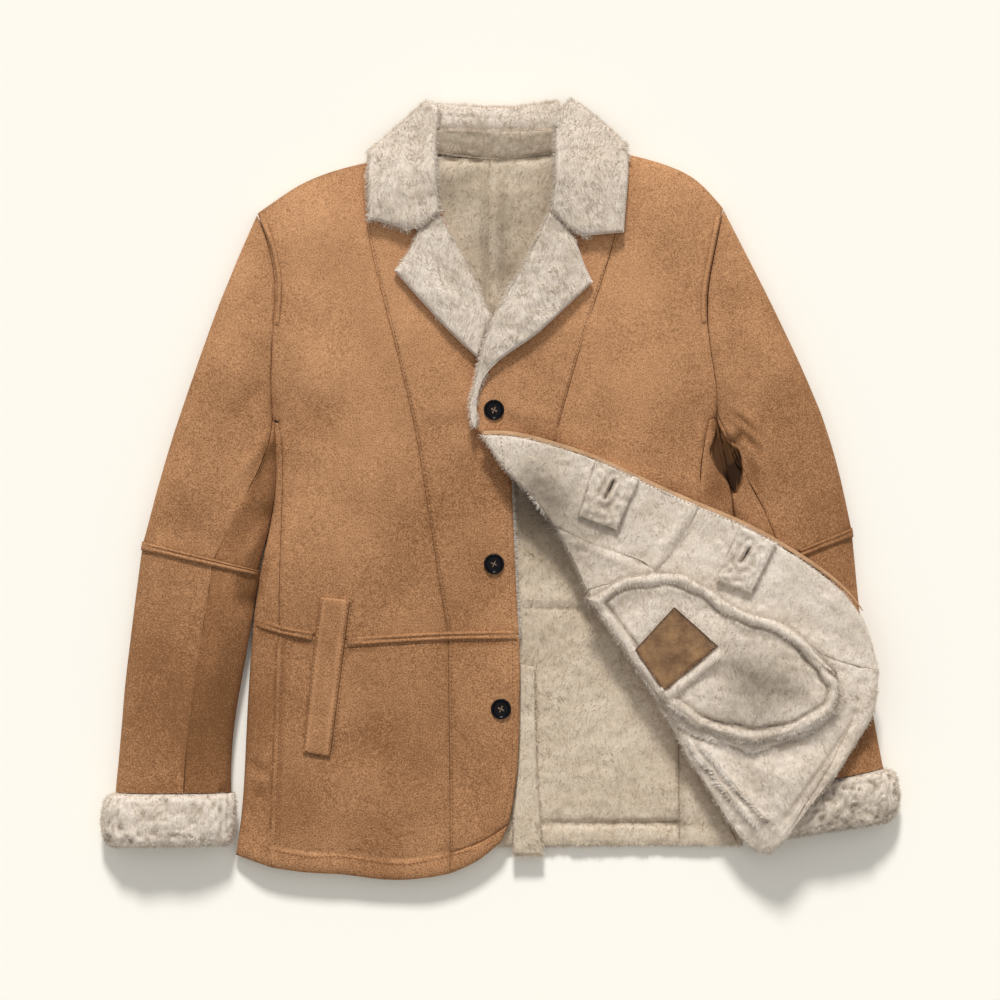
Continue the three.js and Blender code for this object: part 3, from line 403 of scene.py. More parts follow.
def clothFrom(name, levels, crisp=True):
    making = clothMaking
    mesh = nodes[name].data.copy()
    mesh.name = name + "_cloth"
    mesh.materials.clear()
    piece = linked(name + "_cloth", mesh)
    shell = bmesh.new()
    shell.from_mesh(mesh)
    bmesh.ops.remove_doubles(shell, verts=shell.verts, dist=making["weld"])
    bmesh.ops.join_triangles(
        shell, faces=shell.faces, angle_face_threshold=making["flatAngle"],
        angle_shape_threshold=making["squareAngle"],
    )
    crease = shell.edges.layers.float.new("crease_edge")
    corner = shell.verts.layers.float.new("crease_vert")
    for edge in shell.edges:
        if len(edge.link_faces) != 2:
            continue
        angle = edge.calc_face_angle()
        run = (edge.verts[1].co - edge.verts[0].co).normalized()
        upright = all(abs(face.normal.z) < making["upright"] for face in edge.link_faces)
        isCorner = crisp and abs(run.z) > 0.5 and angle > making["cornerAngle"] and upright
        if angle > making["creaseAngle"] or isCorner:
            edge[crease] = 1.0
        if isCorner:
            edge.verts[0][corner] = 1.0
            edge.verts[1][corner] = 1.0
    shell.to_mesh(mesh)
    shell.free()
    for layer in ("custom_normal", "sharp_face", "sharp_edge"):
        if layer in mesh.attributes:
            mesh.attributes.remove(mesh.attributes[layer])
    rounded = piece.modifiers.new("rounded", "SUBSURF")
    rounded.levels = levels
    rounded.render_levels = levels
    bpy.ops.object.select_all(action="DESELECT")
    bpy.context.view_layer.objects.active = piece
    bpy.ops.object.modifier_apply(modifier="rounded")
    clothPieces[name] = piece
    return piece


def edgeDistance(mesh, points, normals, bySide):
    # how far each point is from an edge, in millimetres: on wool and trim the side walls are the
    # edge, in plan; on suede only sharp edges are, because a sleeve's side is no edge
    if bySide:
        places = points[np.abs(normals[:, 2]) < 0.35].copy()
        places[:, 2] = 0
        seen = points.copy()
        seen[:, 2] = 0
    else:
        shell = bmesh.new()
        shell.from_mesh(mesh)
        sharp = [e for e in shell.edges if len(e.link_faces) == 2
                 and e.calc_face_angle() > clothMaking["edgeAngle"]]
        places = [v.co / mm for e in sharp for v in e.verts]
        places += [(e.verts[0].co + e.verts[1].co) / (2 * mm) for e in sharp]
        shell.free()
        seen = points
    if not len(places):
        return np.full(len(points), 99.0)
    tree = KDTree(len(places))
    for i, place in enumerate(places):
        tree.insert(place, i)
    tree.balance()
    return np.array([tree.find(p)[2] for p in seen])


def thinHidden(piece):
    # the flat underside needs few faces
    mesh = piece.data
    shell = bmesh.new()
    shell.from_mesh(mesh)
    below = clothMaking["downwards"]
    hidden = [e for e in shell.edges if len(e.link_faces) == 2
              and all(face.normal.z < below for face in e.link_faces)]
    around = list({v for e in hidden for v in e.verts
                   if all(face.normal.z < below for face in v.link_faces)})
    bmesh.ops.dissolve_limit(
        shell, angle_limit=clothMaking["thinAngle"], verts=around, edges=hidden,
        delimit={"MATERIAL"},
    )
    big = [face for face in shell.faces if len(face.verts) > 4]
    bmesh.ops.triangulate(shell, faces=big)
    shell.to_mesh(mesh)
    shell.free()


# Creases: x and y of both ends, half width, height (below 0 is a trough)
suedeCreases = [
    # left sleeve: pull lines from the armhole, folds above and below the elbow
    (-228, 58, -262, 12, 7, 2.4), (-232, 40, -250, -20, 6, -2.2), (-240, 4, -276, -42, 8, 1.8),
    (-236, -34, -258, -74, 6, 2.2), (-246, -92, -286, -86, 4, 2.0),
    (-244, -101, -274, -97, 4, -3.2), (-250, -112, -300, -112, 6, 1.8),
    (-322, -70, -352, -40, 9, 1.4), (-300, 150, -262, 110, 16, 1.5),
    (-270, 210, -300, 140, 12, -1.3), (-340, -130, -356, -190, 12, 1.3),
    (-300, -150, -318, -260, 14, 1.3), (-268, -150, -276, -215, 9, -1.3),
    (-372, -200, -366, -280, 8, 1.2), (-236, 150, -262, 120, 9, 1.6),
    (-234, 110, -270, 70, 10, -1.5), (-320, 20, -290, -30, 12, 1.2),
    # right sleeve: hollow under the arm, small puckers beside it
    (216, 66, 224, 52, 1.6, -3.0), (224, 52, 238, 46, 1.6, -3.2), (238, 47, 240, 58, 2.2, -2.2),
    (228, 60, 236, 54, 4, 2.6), (234, 82, 256, 62, 3.5, 1.6), (238, 74, 258, 54, 3, -1.8),
    (240, 66, 262, 46, 3.5, 1.7), (242, 56, 260, 36, 3, -1.6), (234, 36, 246, 10, 5, 2.2),
    (248, 26, 262, -12, 6, -1.8), (262, 60, 300, 20, 10, 1.4), (250, 150, 286, 110, 14, 1.4),
    (276, 190, 318, 90, 16, -1.3), (330, -50, 350, -84, 8, 1.2), (352, -180, 366, -250, 9, 1.2),
    # left front: side folds above the hem, soft drag lines to the armhole and the top button
    (-252, -262, -226, -272, 4, 2.4), (-252, -272, -230, -283, 3.5, -2.6),
    (-254, -284, -226, -296, 4, 2.2), (-250, -300, -232, -304, 3.5, -2.0),
    (-222, 160, -180, 120, 12, 1.4), (-224, 118, -176, 70, 12, -1.3), (-218, 40, -160, 30, 12, 1.2),
    (-60, 120, -16, 86, 10, 1.3), (-80, 60, -14, 76, 10, -1.1), (-214, -60, -170, -96, 12, 1.3),
    (-40, -230, 0, -222, 10, 1.1), (-150, -300, -60, -320, 16, 1.1), (-130, -190, -98, -330, 18, -1.1),
    (-222, -150, -224, -240, 3.2, 1.3), (-224, -240, -229, -374, 3.2, 1.3),
    (-170, -290, -110, -280, 12, 1.2), (-40, -160, -20, -330, 14, 1.0),
    # right front: drag lines from the top button, tension above the fold
    (4, 82, 60, 70, 8, 1.5), (2, 74, 70, 36, 8, -1.3), (20, 60, 120, 40, 9, 1.4),
    (90, 60, 190, 30, 10, 1.3), (150, 120, 206, 150, 14, 1.2), (180, 20, 206, -10, 7, 1.8),
    (150, 10, 196, -20, 8, -1.5), (60, 200, 110, 120, 18, 1.0), (120, 20, 90, -20, 8, 1.6),
]
woolCreases = [
    # inside back: centre ridge, soft humps either side, waist and side seams, vent and hem
    (-9, 325, -6, 170, 6, 3.0), (-17, 325, -15, 180, 3, -2.4), (3, 325, 2, 200, 4, -2.0),
    (-62, 331, -34, 335, 2.5, -3.0), (-36, 335, -14, 329, 2.5, -3.0), (-14, 329, 14, 333, 2.5, -2.6),
    (12, 332, 56, 336, 2.5, -3.0), (-50, 318, -20, 322, 7, 1.6), (6, 318, 44, 322, 7, 1.6),
    (19, -109, 100, -112, 4.5, 2.6), (19, -117, 100, -120, 3, -2.0),
    (186, -240, 188, -352, 7, 2.4), (178, -240, 179, -352, 2, -2.4), (43, -334, 240, -334, 3, -3.4),
    (60, -150, 110, -230, 22, 1.4), (120, -240, 80, -310, 24, 1.3), (150, -280, 210, -350, 16, 1.2),
    (30, -20, 60, -80, 10, 1.2),
    # flap: soft ridges where the hide is seamed, puckers by the patches and the fold
    (192, -16, 150, -78, 6, 2.8), (204, -20, 162, -80, 4, -1.6), (60, -46, 150, -84, 5, 1.6),
    (20, 40, 70, 0, 9, 1.4), (30, 10, 66, -26, 8, -1.3), (290, -70, 350, -130, 12, 1.6),
    (240, -100, 360, -160, 10, -1.2), (340, -200, 300, -270, 9, 1.4), (240, -270, 300, -300, 12, 1.6),
    (250, -262, 330, -240, 8, 1.4), (354, -228, 278, -334, 2.6, -2.2), (230, -58, 214, -96, 6, 1.6),
    # collar and lapels
    (-108, 280, -112, 340, 10, 1.3), (-80, 300, -84, 360, 9, -1.2), (-90, 220, -40, 180, 9, 1.6),
    (-63, 368, -65, 392, 4.5, 2.6), (57, 368, 58, 392, 4.5, 2.6), (100, 280, 104, 340, 11, 1.3),
    (74, 290, 70, 360, 9, -1.2), (70, 230, 10, 160, 9, 1.6),
    (-62, 262, -88, 262, 5, -1.4), (52, 262, 76, 252, 5, -1.4), (-70, 236, -36, 190, 6, -1.2),
    # pocket bag: the slack below its roll
    (190, -150, 300, -190, 18, 2.0), (180, -230, 280, -238, 8, -1.6), (230, -180, 310, -215, 12, -1.4),
    (150, -205, 230, -165, 6, 2.2),
]
# Painted shade on the wool beneath the raised front edge and the flap, under the collar, in the pocket bag
# and beside the right cuff, and paler or darker patches elsewhere: x, y, radius, change of tone
woolShadeAndTone = [
    (34, -8, 40, -1.0), (62, -58, 42, -0.45), (-3, 250, 60, -0.4), (26, -170, 20, -0.2),
    (90, -130, 22, -0.2), (-52, 300, 26, -0.25), (46, 300, 26, -0.25), (0, 215, 30, -0.2), (0, 345, 40, 0.15),
    (44, 16, 34, 0.12), (110, -40, 40, -0.1), (150, -50, 40, -0.1), (-70, 200, 45, 0.35),
    (60, 190, 45, 0.35), (262, -200, 40, -0.7), (230, -165, 24, -0.3), (180, -120, 20, -0.15),
    (300, -170, 26, -0.15),
    (260, -60, 60, 0.15), (330, -130, 50, 0.05), (340, -320, 50, -0.45), (240, -290, 40, -0.2),
    (190, -250, 16, -0.25), (120, -290, 80, 0.1), (215, -300, 30, -0.2), (-110, 330, 40, 0.05),
    (110, 330, 40, 0.05),
]
# Wool layers that lie on each other: height of the step, then a line with the raised side on
# its left as it runs
woolLayers = [
    (3.6, [(158, -216), (176, -232), (205, -247), (245, -259), (290, -250), (330, -226), (344, -206)]),
    (4.6, [(182, -244), (200, -270), (226, -302), (262, -340)]),
    (3.6, [(194, -248), (216, -276), (244, -306), (276, -336)]),
]
# Where the suede is paler or darker: paler over the chest and shoulders and darker towards the hem and cuffs,
# partly wear and partly painted light falloff, and painted shade in the hollows under the arms and at the
# elbows: x, y, radius, change of tone
suedeWearAndShade = [
    (-150, 190, 100, 0.22), (-120, 60, 110, 0.04), (-60, 230, 60, 0.12), (-180, 300, 60, 0.26),
    (-120, -250, 130, -0.14), (-30, -40, 70, -0.12), (-20, -260, 80, -0.16), (-230, 180, 30, -0.1),
    (-300, 90, 80, -0.12), (-330, -60, 60, -0.16), (-325, -200, 100, -0.38), (-210, -330, 60, -0.1),
    (-220, -40, 40, 0.12), (-270, 200, 40, 0.1),
    (150, 160, 100, 0.3), (90, 90, 70, 0.05), (160, 300, 60, 0.26), (60, 60, 60, -0.2),
    (190, 60, 50, -0.2), (300, 60, 100, -0.18), (345, -70, 60, -0.3), (365, -230, 60, -0.42),
    (216, 60, 6, -0.5), (222, 4, 14, -0.3), (210, -4, 10, -0.4), (238, 55, 5, -0.5),
    (246, 20, 12, -0.25), (234, -24, 12, -0.2),
    (-246, -98, 10, -0.35), (-234, -20, 10, -0.5), (-242, -76, 12, -0.5),
    (-226, 90, 14, -0.25), (-250, -20, 20, -0.2), (-230, 40, 10, -0.3),
]
# Lines painted lighter or darker than the suede round them, as painted highlights along raised seams and the
# welt's edges and painted shade in the seam grooves and round the welt: half width, change of tone, line
seamHighlightAndShade = [
    (1.7, 0.3, [(-220.6, -152), (-223.6, -243), (-228, -372)]),
    (1.1, -0.35, [(-217.6, -152), (-220.4, -243), (-224.6, -358)]),
    (1.1, -0.35, [(-223.8, -152), (-226.8, -243), (-231, -358)]),
    (2.2, 0.22, [(-250, -346), (-230, -356), (-193, -363), (-158, -363), (-96, -371), (-32, -357)]),
    (1.2, -0.3, [(-250, -350), (-230, -361), (-193, -368), (-158, -368), (-96, -376), (-32, -362)]),
    (1.4, -0.35, [(-241, -141), (-212, -151), (-191, -155)]),
    (1.4, -0.35, [(-150, -159.5), (-106, -157), (-52, -154), (14, -153)]),
    (1.0, -0.15, [(-135.5, 324), (-132.5, 277), (-124.5, 232), (-102.5, 145), (-81.5, 56), (-49.5, -140)]),
    (1.0, -0.15, [(117, 252), (100.6, 212), (86.6, 171), (64, 94), (52.5, 44)]),
    (1.6, 0.3, [(-178, -108), (-151, -110)]), (1.6, 0.25, [(-156, -112), (-174, -262)]),
    (1.6, 0.2, [(-176, -112), (-193, -256)]),
    (1.6, -0.12, [(-179, -106), (-189, -190), (-197, -262), (-170, -270), (-160, -200), (-147.5, -108)]),
]
# Hollows, sunk and darkened with painted shade: depth, change of tone, how soft the rim is, outline
hollows = [
    (5.0, -1.0, 3.0, [
        (213, 48), (209, 40), (211, 32), (218, 19), (225, 9), (231, -5), (237, -3), (241, 6), (243, 17),
        (242, 29), (239, 40), (231, 46), (223, 52), (217, 60)]),
    (2.0, -0.8, 3.0, [
        (227, 20), (233, 28), (240, 38), (243, 24), (241, 6), (236, -4), (230, -2), (226, 8)]),
    (2.5, -0.6, 4.0, [(-284, -94), (-262, -90), (-244, -96), (-243, -116), (-258, -112), (-272, -102)]),
]
baseTone = {"suede": 0.5, "trim": 0.5, "patch": 0.55, "smooth": 0.5}

# swell and fine: height and size of the lumps; roll: how far and how wide an edge sinks; then the painted
# shade along an edge where it rolls down: how dark, and how wide
reliefColumns = ("swell", "swellSize", "fine", "fineSize", "roll", "rollWidth", "edgeShade", "edgeShadeWidth")
reliefTable = {
    "suede": (1.1, 66, 0.22, 14, 0.55, 2.0, 0.1, 1.3),
    "trim": (0.15, 40, 0.12, 9, 0.25, 1.2, 0.12, 1.5),
    "smooth": (1.0, 50, 0.22, 14, 0.2, 1.5, 0.0, 1.0),
    "patch": (0.8, 24, 0.35, 7, 0.8, 2.5, 0.75, 2.6),
    "wool": (1.1, 26, 0.8, 6, 0.6, 2.6, 0.05, 1.6),
    "tuft": (0.8, 11, 1.3, 4.5, 0.2, 2, 0.3, 1.5),
    "curl": (1.6, 13, 1.0, 6, 0.6, 4, 0.15, 3.0),
    "puff": (1.4, 30, 0.9, 6, 2.2, 4, 0.5, 2.0),
}
# The puffy roll along the bag's edge and the line inside it: distance, width, height
puffBands = [(6.0, 4.6, 2.2), (13, 1.9, -2.4)]
woolKinds = ("wool", "curl", "puff", "tuft")
seamClose = 0.3  # mm that a sewn edge moves out to meet its neighbour


shaping = {
    "secondSize": 0.45, "secondSwell": 0.5,  # a smaller swell rides on the first
    "keptAtEdge": 0.25,  # share of the lumps that an edge keeps
    "woolTone": 0.62,  # where no other tone is given
    "swellHighlight": 0.08,  # painted highlight: how much paler the top of a swell is
    "stepStart": -0.6, "stepEnd": 1.2, "stepFade": 16,  # a wool layer's step, in mm from its line
    "shadeAt": 1.8, "shadeWidth": 1.6, "shadeDepth": 0.8,  # the dark line below the step
    "leastTone": -0.9, "mostTone": 1.2,
}


def shapeCloth(piece, kind, creases, tones, layers, bySide):
    mesh = piece.data
    points, normals = pointsOf(mesh)
    setting = dict(zip(reliefColumns, reliefTable[kind]))
    edgeAway = edgeDistance(mesh, points, normals, bySide)
    if kind == "puff":
        edgeAway = np.maximum(edgeAway + softNoise(points, 17, 6) * 2.4 * ramp(edgeAway, 0, 4), 0)
    facing = ramp(normals[:, 2], 0.0, 0.5)
    free = ramp(edgeAway, 0, setting["rollWidth"])
    swell = softNoise(points, setting["swellSize"], 1) * setting["swell"]
    second = softNoise(points, setting["swellSize"] * shaping["secondSize"], 2)
    swell += second * setting["swell"] * shaping["secondSwell"]
    fine = softNoise(points, setting["fineSize"], 3) * setting["fine"]
    tone = baseTone.get(kind, shaping["woolTone"])
    tone = tone + shaping["swellHighlight"] * swell / max(setting["swell"], 0.1)
    if kind == "curl":
        curl = 0.55 - np.abs(softNoise(points, 6, 5) + 0.6 * softNoise(points, 3.2, 6)) * 1.8
        fine += curl * 1.7
        # the tone follows the curls' height: painted shade between them, paler tops
        tone += curl * 0.5
    if kind == "tuft":
        # the tone follows the tufts' height: painted shade between them, paler tops
        tone += 0.4 * softNoise(points, 4.5, 3) + 0.3 * softNoise(points, 3, 4)
    push = (swell + fine) * (shaping["keptAtEdge"] + (1 - shaping["keptAtEdge"]) * free)
    push -= setting["roll"] * (1 - free)
    for away, width, height in puffBands if kind == "puff" else []:
        band = bell(edgeAway - away, width) * (1 + 0.5 * softNoise(points, 21, 7))
        push += height * band
        # a painted highlight on the roll and painted shade in the line inside it
        tone += (0.04 if height > 0 else 0.25) * height * band
    # painted shade along edges that roll down into their seams
    tone -= setting["edgeShade"] * (1 - ramp(edgeAway, 0, setting["edgeShadeWidth"]))
    for x0, y0, x1, y1, width, height in creases:
        away, along = nearestOn(points, [(x0, y0), (x1, y1)])[:2]
        fade = np.sin(np.pi * np.clip(along * 0.86 + 0.07, 0, 1)) ** 0.7
        bump = bell(away, width) * fade * (1 + 0.35 * softNoise(points, 12, 9))
        push += height * bump
        # ridges get a painted highlight, troughs painted shade
        tone += (0.03 if height > 0 else 0.12) * max(height, -3.5) * bump
    for height, line in layers:
        away, along, isLeft = nearestOn(points, smoothLine(line, 6))
        side = np.where(isLeft, away, -away) + 2.2 * softNoise(points, 13, 7)
        along = nearestOn(points, line)[1]
        fade = ramp(along, 0.0, 0.12) * ramp(1 - along, 0.0, 0.12)
        step = ramp(side, shaping["stepStart"], shaping["stepEnd"])
        step = step * np.exp(-np.maximum(side, 0) / shaping["stepFade"]) * fade
        push += height * step
        shadow = shaping["shadeDepth"] * bell(side + shaping["shadeAt"], shaping["shadeWidth"])
        # the raised layer is painted paler, with a painted shadow line below its step
        tone += (0.25 * step - shadow) * fade
    if tones is suedeWearAndShade:
        # painted highlights along raised seams, painted shade in the seam grooves
        for width, change, line in seamHighlightAndShade:
            away = distanceTo(points, line)
            tone += change * bell(away, width) * (1 + 0.4 * softNoise(points, 9, 4))
        # the hollows sink, and painted shade darkens them
        for depth, change, soft, loop in hollows:
            away = distanceTo(points, [*loop, loop[0]])
            within = ramp(np.where(insideLoop(points, loop), away, -away), -0.8, soft)
            push -= depth * within
            tone += change * within
    for x, y, radius, change in tones:
        away = np.hypot(points[:, 0] - x, points[:, 1] - y)
        tone += change * bell(away, radius)
    flat = np.hypot(normals[:, 0], normals[:, 1])
    outward = normals[:, :2] / np.maximum(flat, 1e-6)[:, None] * (flat > 0.5)[:, None] * seamClose
    points += normals * (push * facing)[:, None]
    points[:, :2] += outward
    points[:, 2] = np.maximum(points[:, 2], 0)
    setPoints(mesh, drawOut(points, piece.name[:-6]))
    setAttribute(mesh, "tone", np.clip(tone, shaping["leastTone"], shaping["mostTone"]))
    mesh.shade_smooth()
    mesh.set_sharp_from_angle(angle=clothMaking["smoothAngle"])


# Where a piece is drawn out over its neighbour: from x, y, to x, y, how far it goes further
drawnOut = {
    "collar_back": [(40, 360, 62, 360, 3.2), (-46, 360, -68, 360, 3.2)],
    "collar_stand": [(40, 345, 62, 345, 2.0), (-46, 345, -68, 345, 2.0), (0, 330, 0, 318, 3.0)],
    "right_side_upper": [(220, 0, 231, 0, 5.0), (218, 40, 218, 72, 5.0)],
    "left_sleeve_inner_upper": [(-245, 0, -228, 0, 1.6)],
    "left_sleeve_inner_lower": [(-262, -120, -246, -120, 1.2)],
    "right_elbow_welt": [(345, -41, 305, -58, 9.0)],
}
# Where an edge sinks onto what lies below it: x, y of both ends, half width, drop
sinks = {"collar_back": (-60, 354, 54, 354, 12, 6.0)}


def drawOut(points, name):
    for x0, y0, x1, y1, more in drawnOut.get(name, []):
        run = np.array([x1 - x0, y1 - y0], float)
        length = np.hypot(*run)
        share = (points[:, :2] - (x0, y0)) @ run / length**2
        points[:, :2] += np.clip(share, 0, 1.2)[:, None] * more * run / length
    if name in sinks:
        x0, y0, x1, y1, width, drop = sinks[name]
        away = distanceTo(points, [(x0, y0), (x1, y1)])
        points[:, 2] = np.maximum(points[:, 2] - drop * bell(away, width), 0)
    return points


def coverCloth(piece, upper, lower):
    # one finish on the faces that look up, another on those that look down
    mesh = piece.data
    mesh.materials.append(finishes[upper])
    mesh.materials.append(finishes[lower])
    facing = np.empty(len(mesh.polygons) * 3)
    mesh.polygons.foreach_get("normal", facing)
    down = (facing.reshape(-1, 3)[:, 2] < -0.3).astype(np.int32)
    mesh.polygons.foreach_set("material_index", down)


# Columns: kind of relief, finish above and below, how the cloth is held
covers = {
    "back": ("wool", "insideWool", "suede", "laid"),
    "underlap": ("wool", "insideWool", "insideWool", "laid"),
    "side": ("suede", "suede", "suede", "laid"),
    "front": ("suede", "suede", "insideWool", "laid"),
    # the under-sleeve panels, and the faces of the arm's inner panel that look down, take the darker copy of
    # the suede as painted shade
    "underSleeve": ("suede", "underSleeve", "underSleeve", "laid"),
    "underArm": ("smooth", "suede", "underSleeve", "laid"),
    "cuff": ("curl", "wool", "wool", "folded"),
    "turned": ("wool", "wool", "suede", "folded"),
    "stand": ("wool", "insideWool", "suede", "folded"),
    "bag": ("puff", "wool", "wool", "laid"),
    "patch": ("patch", "patch", "patch", "laid"),
    "holePatch": ("tuft", "wool", "suede", "laid"),
    "pocketWelt": ("trim", "suede", "suede", "laid"),
}
# Columns: width and length of the cut in mm, its flat area in cm2, subdivision, cover
panels = {
    "back_upper_left": (235, 457, 1008, 3, "back"),
    "back_upper_right": (233, 466, 974, 3, "back"),
    "back_lower_left": (225, 249, 549, 2, "back"),
    "back_lower_right": (185, 249, 450, 3, "back"),
    "vent_underlap": (29, 192, 48, 3, "underlap"),
    "left_side_upper": (50, 206, 96, 2, "side"),
    "left_side_lower": (86, 250, 211, 2, "side"),
    "right_side_upper": (70, 203, 108, 3, "side"),
    "right_side_lower": (80, 231, 183, 2, "back"),
    "left_front_side_upper": (166, 480, 649, 3, "front"),
    "left_front_centre_upper": (108, 494, 458, 3, "front"),
    "left_front_side_lower": (182, 250, 452, 3, "front"),
    "left_front_centre_lower": (73, 238, 172, 3, "front"),
    "right_front_side_upper": (162, 479, 622, 2, "front"),
    "right_front_centre_upper": (106, 374, 305, 3, "front"),
    "right_front_lower": (83, 245, 89, 2, "front"),
    "left_sleeve_outer_upper": (205, 330, 501, 3, "side"),
    "left_sleeve_outer_lower": (190, 235, 404, 2, "side"),
    "left_sleeve_inner_upper": (75, 190, 106, 3, "underSleeve"),
    "left_sleeve_inner_lower": (98, 225, 204, 2, "underSleeve"),
    "right_sleeve_outer_upper": (210, 340, 531, 3, "side"),
    "right_sleeve_outer_lower": (185, 230, 394, 2, "side"),
    "right_sleeve_inner_upper": (75, 200, 105, 3, "underArm"),
    "right_sleeve_inner_lower": (96, 220, 200, 2, "underSleeve"),
    "left_cuff": (53, 320, 163, 3, "cuff"),
    "right_cuff": (53, 324, 165, 3, "cuff"),
    "collar_left": (72, 130, 87, 3, "turned"),
    "collar_right": (76, 137, 100, 3, "turned"),
    "collar_back": (56, 118, 66, 3, "turned"),
    "collar_stand": (38, 122, 44, 4, "stand"),
    "lapel_left": (71, 135, 77, 3, "turned"),
    "lapel_right": (71, 227, 97, 3, "turned"),
    "flap_centre_upper": (77, 227, 158, 3, "turned"),
    "flap_centre_lower": (79, 242, 180, 3, "turned"),
    "flap_side_upper": (48, 109, 36, 3, "turned"),
    "flap_side_lower": (207, 320, 448, 3, "turned"),
    "pocket_bag": (132, 269, 282, 3, "bag"),
    "leather_patch": (58, 71, 37, 3, "patch"),
    "buttonhole_patch_upper": (46, 59, 27, 3, "holePatch"),
    "buttonhole_patch_lower": (42, 59, 24, 3, "holePatch"),
    "left_pocket_welt": (31, 158, 48, 3, "pocketWelt"),
}
# Narrow trim: node, finish, and the panel that it is sewn to
trims = {
    "left_elbow_welt": ("suede", "left_sleeve_outer_upper"),
    "right_elbow_welt": ("suede", "right_sleeve_outer_upper"),
    "left_waist_welt_side": ("suede", "left_front_side_upper"),
    "left_waist_welt_centre": ("suede", "left_front_centre_upper"),
    "left_armhole_piping": ("suede", "left_front_side_upper"),
    "right_armhole_piping": ("suede", "right_front_side_upper"),
    "flap_edge": ("cutEdge", "flap_centre_upper"),
    "pocket_bag_fold": ("wool", "pocket_bag"),
}

for name, (width, length, area, levels, cover) in panels.items():
    kind, upper, lower, held = covers[cover]
    isWool = kind in woolKinds
    piece = clothFrom(name, levels, crisp=kind != "curl")
    plain = name in ("leather_patch", "left_pocket_welt")
    creases = [] if plain else woolCreases if isWool else suedeCreases
    tones = [] if name == "leather_patch" else woolShadeAndTone if isWool else suedeWearAndShade
    layers = woolLayers if name == "flap_side_lower" else []
    shapeCloth(piece, kind, creases, tones, layers, bySide=isWool or kind in ("trim", "patch"))
    coverCloth(piece, upper, lower)
    thinHidden(piece)
print("panels shaped:", len(panels))

for name, (finish, panel) in trims.items():
    piece = clothFrom(name, 2, crisp=False)
    shapeCloth(piece, "trim", [], [] if finish == "wool" else suedeWearAndShade, [], bySide=True)
    piece.data.materials.append(finishes[finish])
print("trim shaped:", len(trims))

# Buttonholes: a slit sunk in each patch, its lips raised. Columns: x, y of both ends, half width,
# depth
slits = {
    "buttonhole_patch_upper": (113, 8, 105, -8, 1.3, 3.2),
    "buttonhole_patch_lower": (248, -58, 240, -72, 1.3, 3.2),
}
lips = {"at": 4.6, "width": 1.8, "height": 0.9}
ditch = {"at": 8.5, "width": 2.0, "depth": 0.7}
slitShade = {"width": 1.4, "slit": 1.8, "ditch": 0.25}
for name, (x0, y0, x1, y1, width, depth) in slits.items():
    mesh = clothPieces[name].data
    points, normals = pointsOf(mesh)
    away = distanceTo(points, [(x0, y0), (x1, y1)])
    inDitch = bell(away - ditch["at"], ditch["width"])
    raised = lips["height"] * bell(away - lips["at"], lips["width"]) - ditch["depth"] * inDitch
    points[:, 2] += (raised - depth * bell(away, width)) * (normals[:, 2] > 0)
    tone = attributeOf(mesh, "tone")
    tone -= slitShade["slit"] * bell(away, slitShade["width"]) + slitShade["ditch"] * inDitch
    setAttribute(mesh, "tone", tone)
    setPoints(mesh, points)
print("buttonholes cut:", len(slits))


# What shows from above, for sewing and for placing small things

def treeOf(names):
    verts, faces = [], []
    for name in names:
        mesh = clothPieces[name].data
        start = len(verts)
        verts.extend(v.co.copy() for v in mesh.vertices)
        faces.extend([start + i for i in face.vertices] for face in mesh.polygons)
    return BVHTree.FromPolygons(verts, faces)


surface = treeOf(list(clothPieces))


def topAt(x, y):
    hit, normal, face, distance = surface.ray_cast(Vector((x * mm, y * mm, 0.2)), Vector((0, 0, -1)))
    if hit is None:
        return None, None
    return np.array(hit) / mm, np.array(normal)


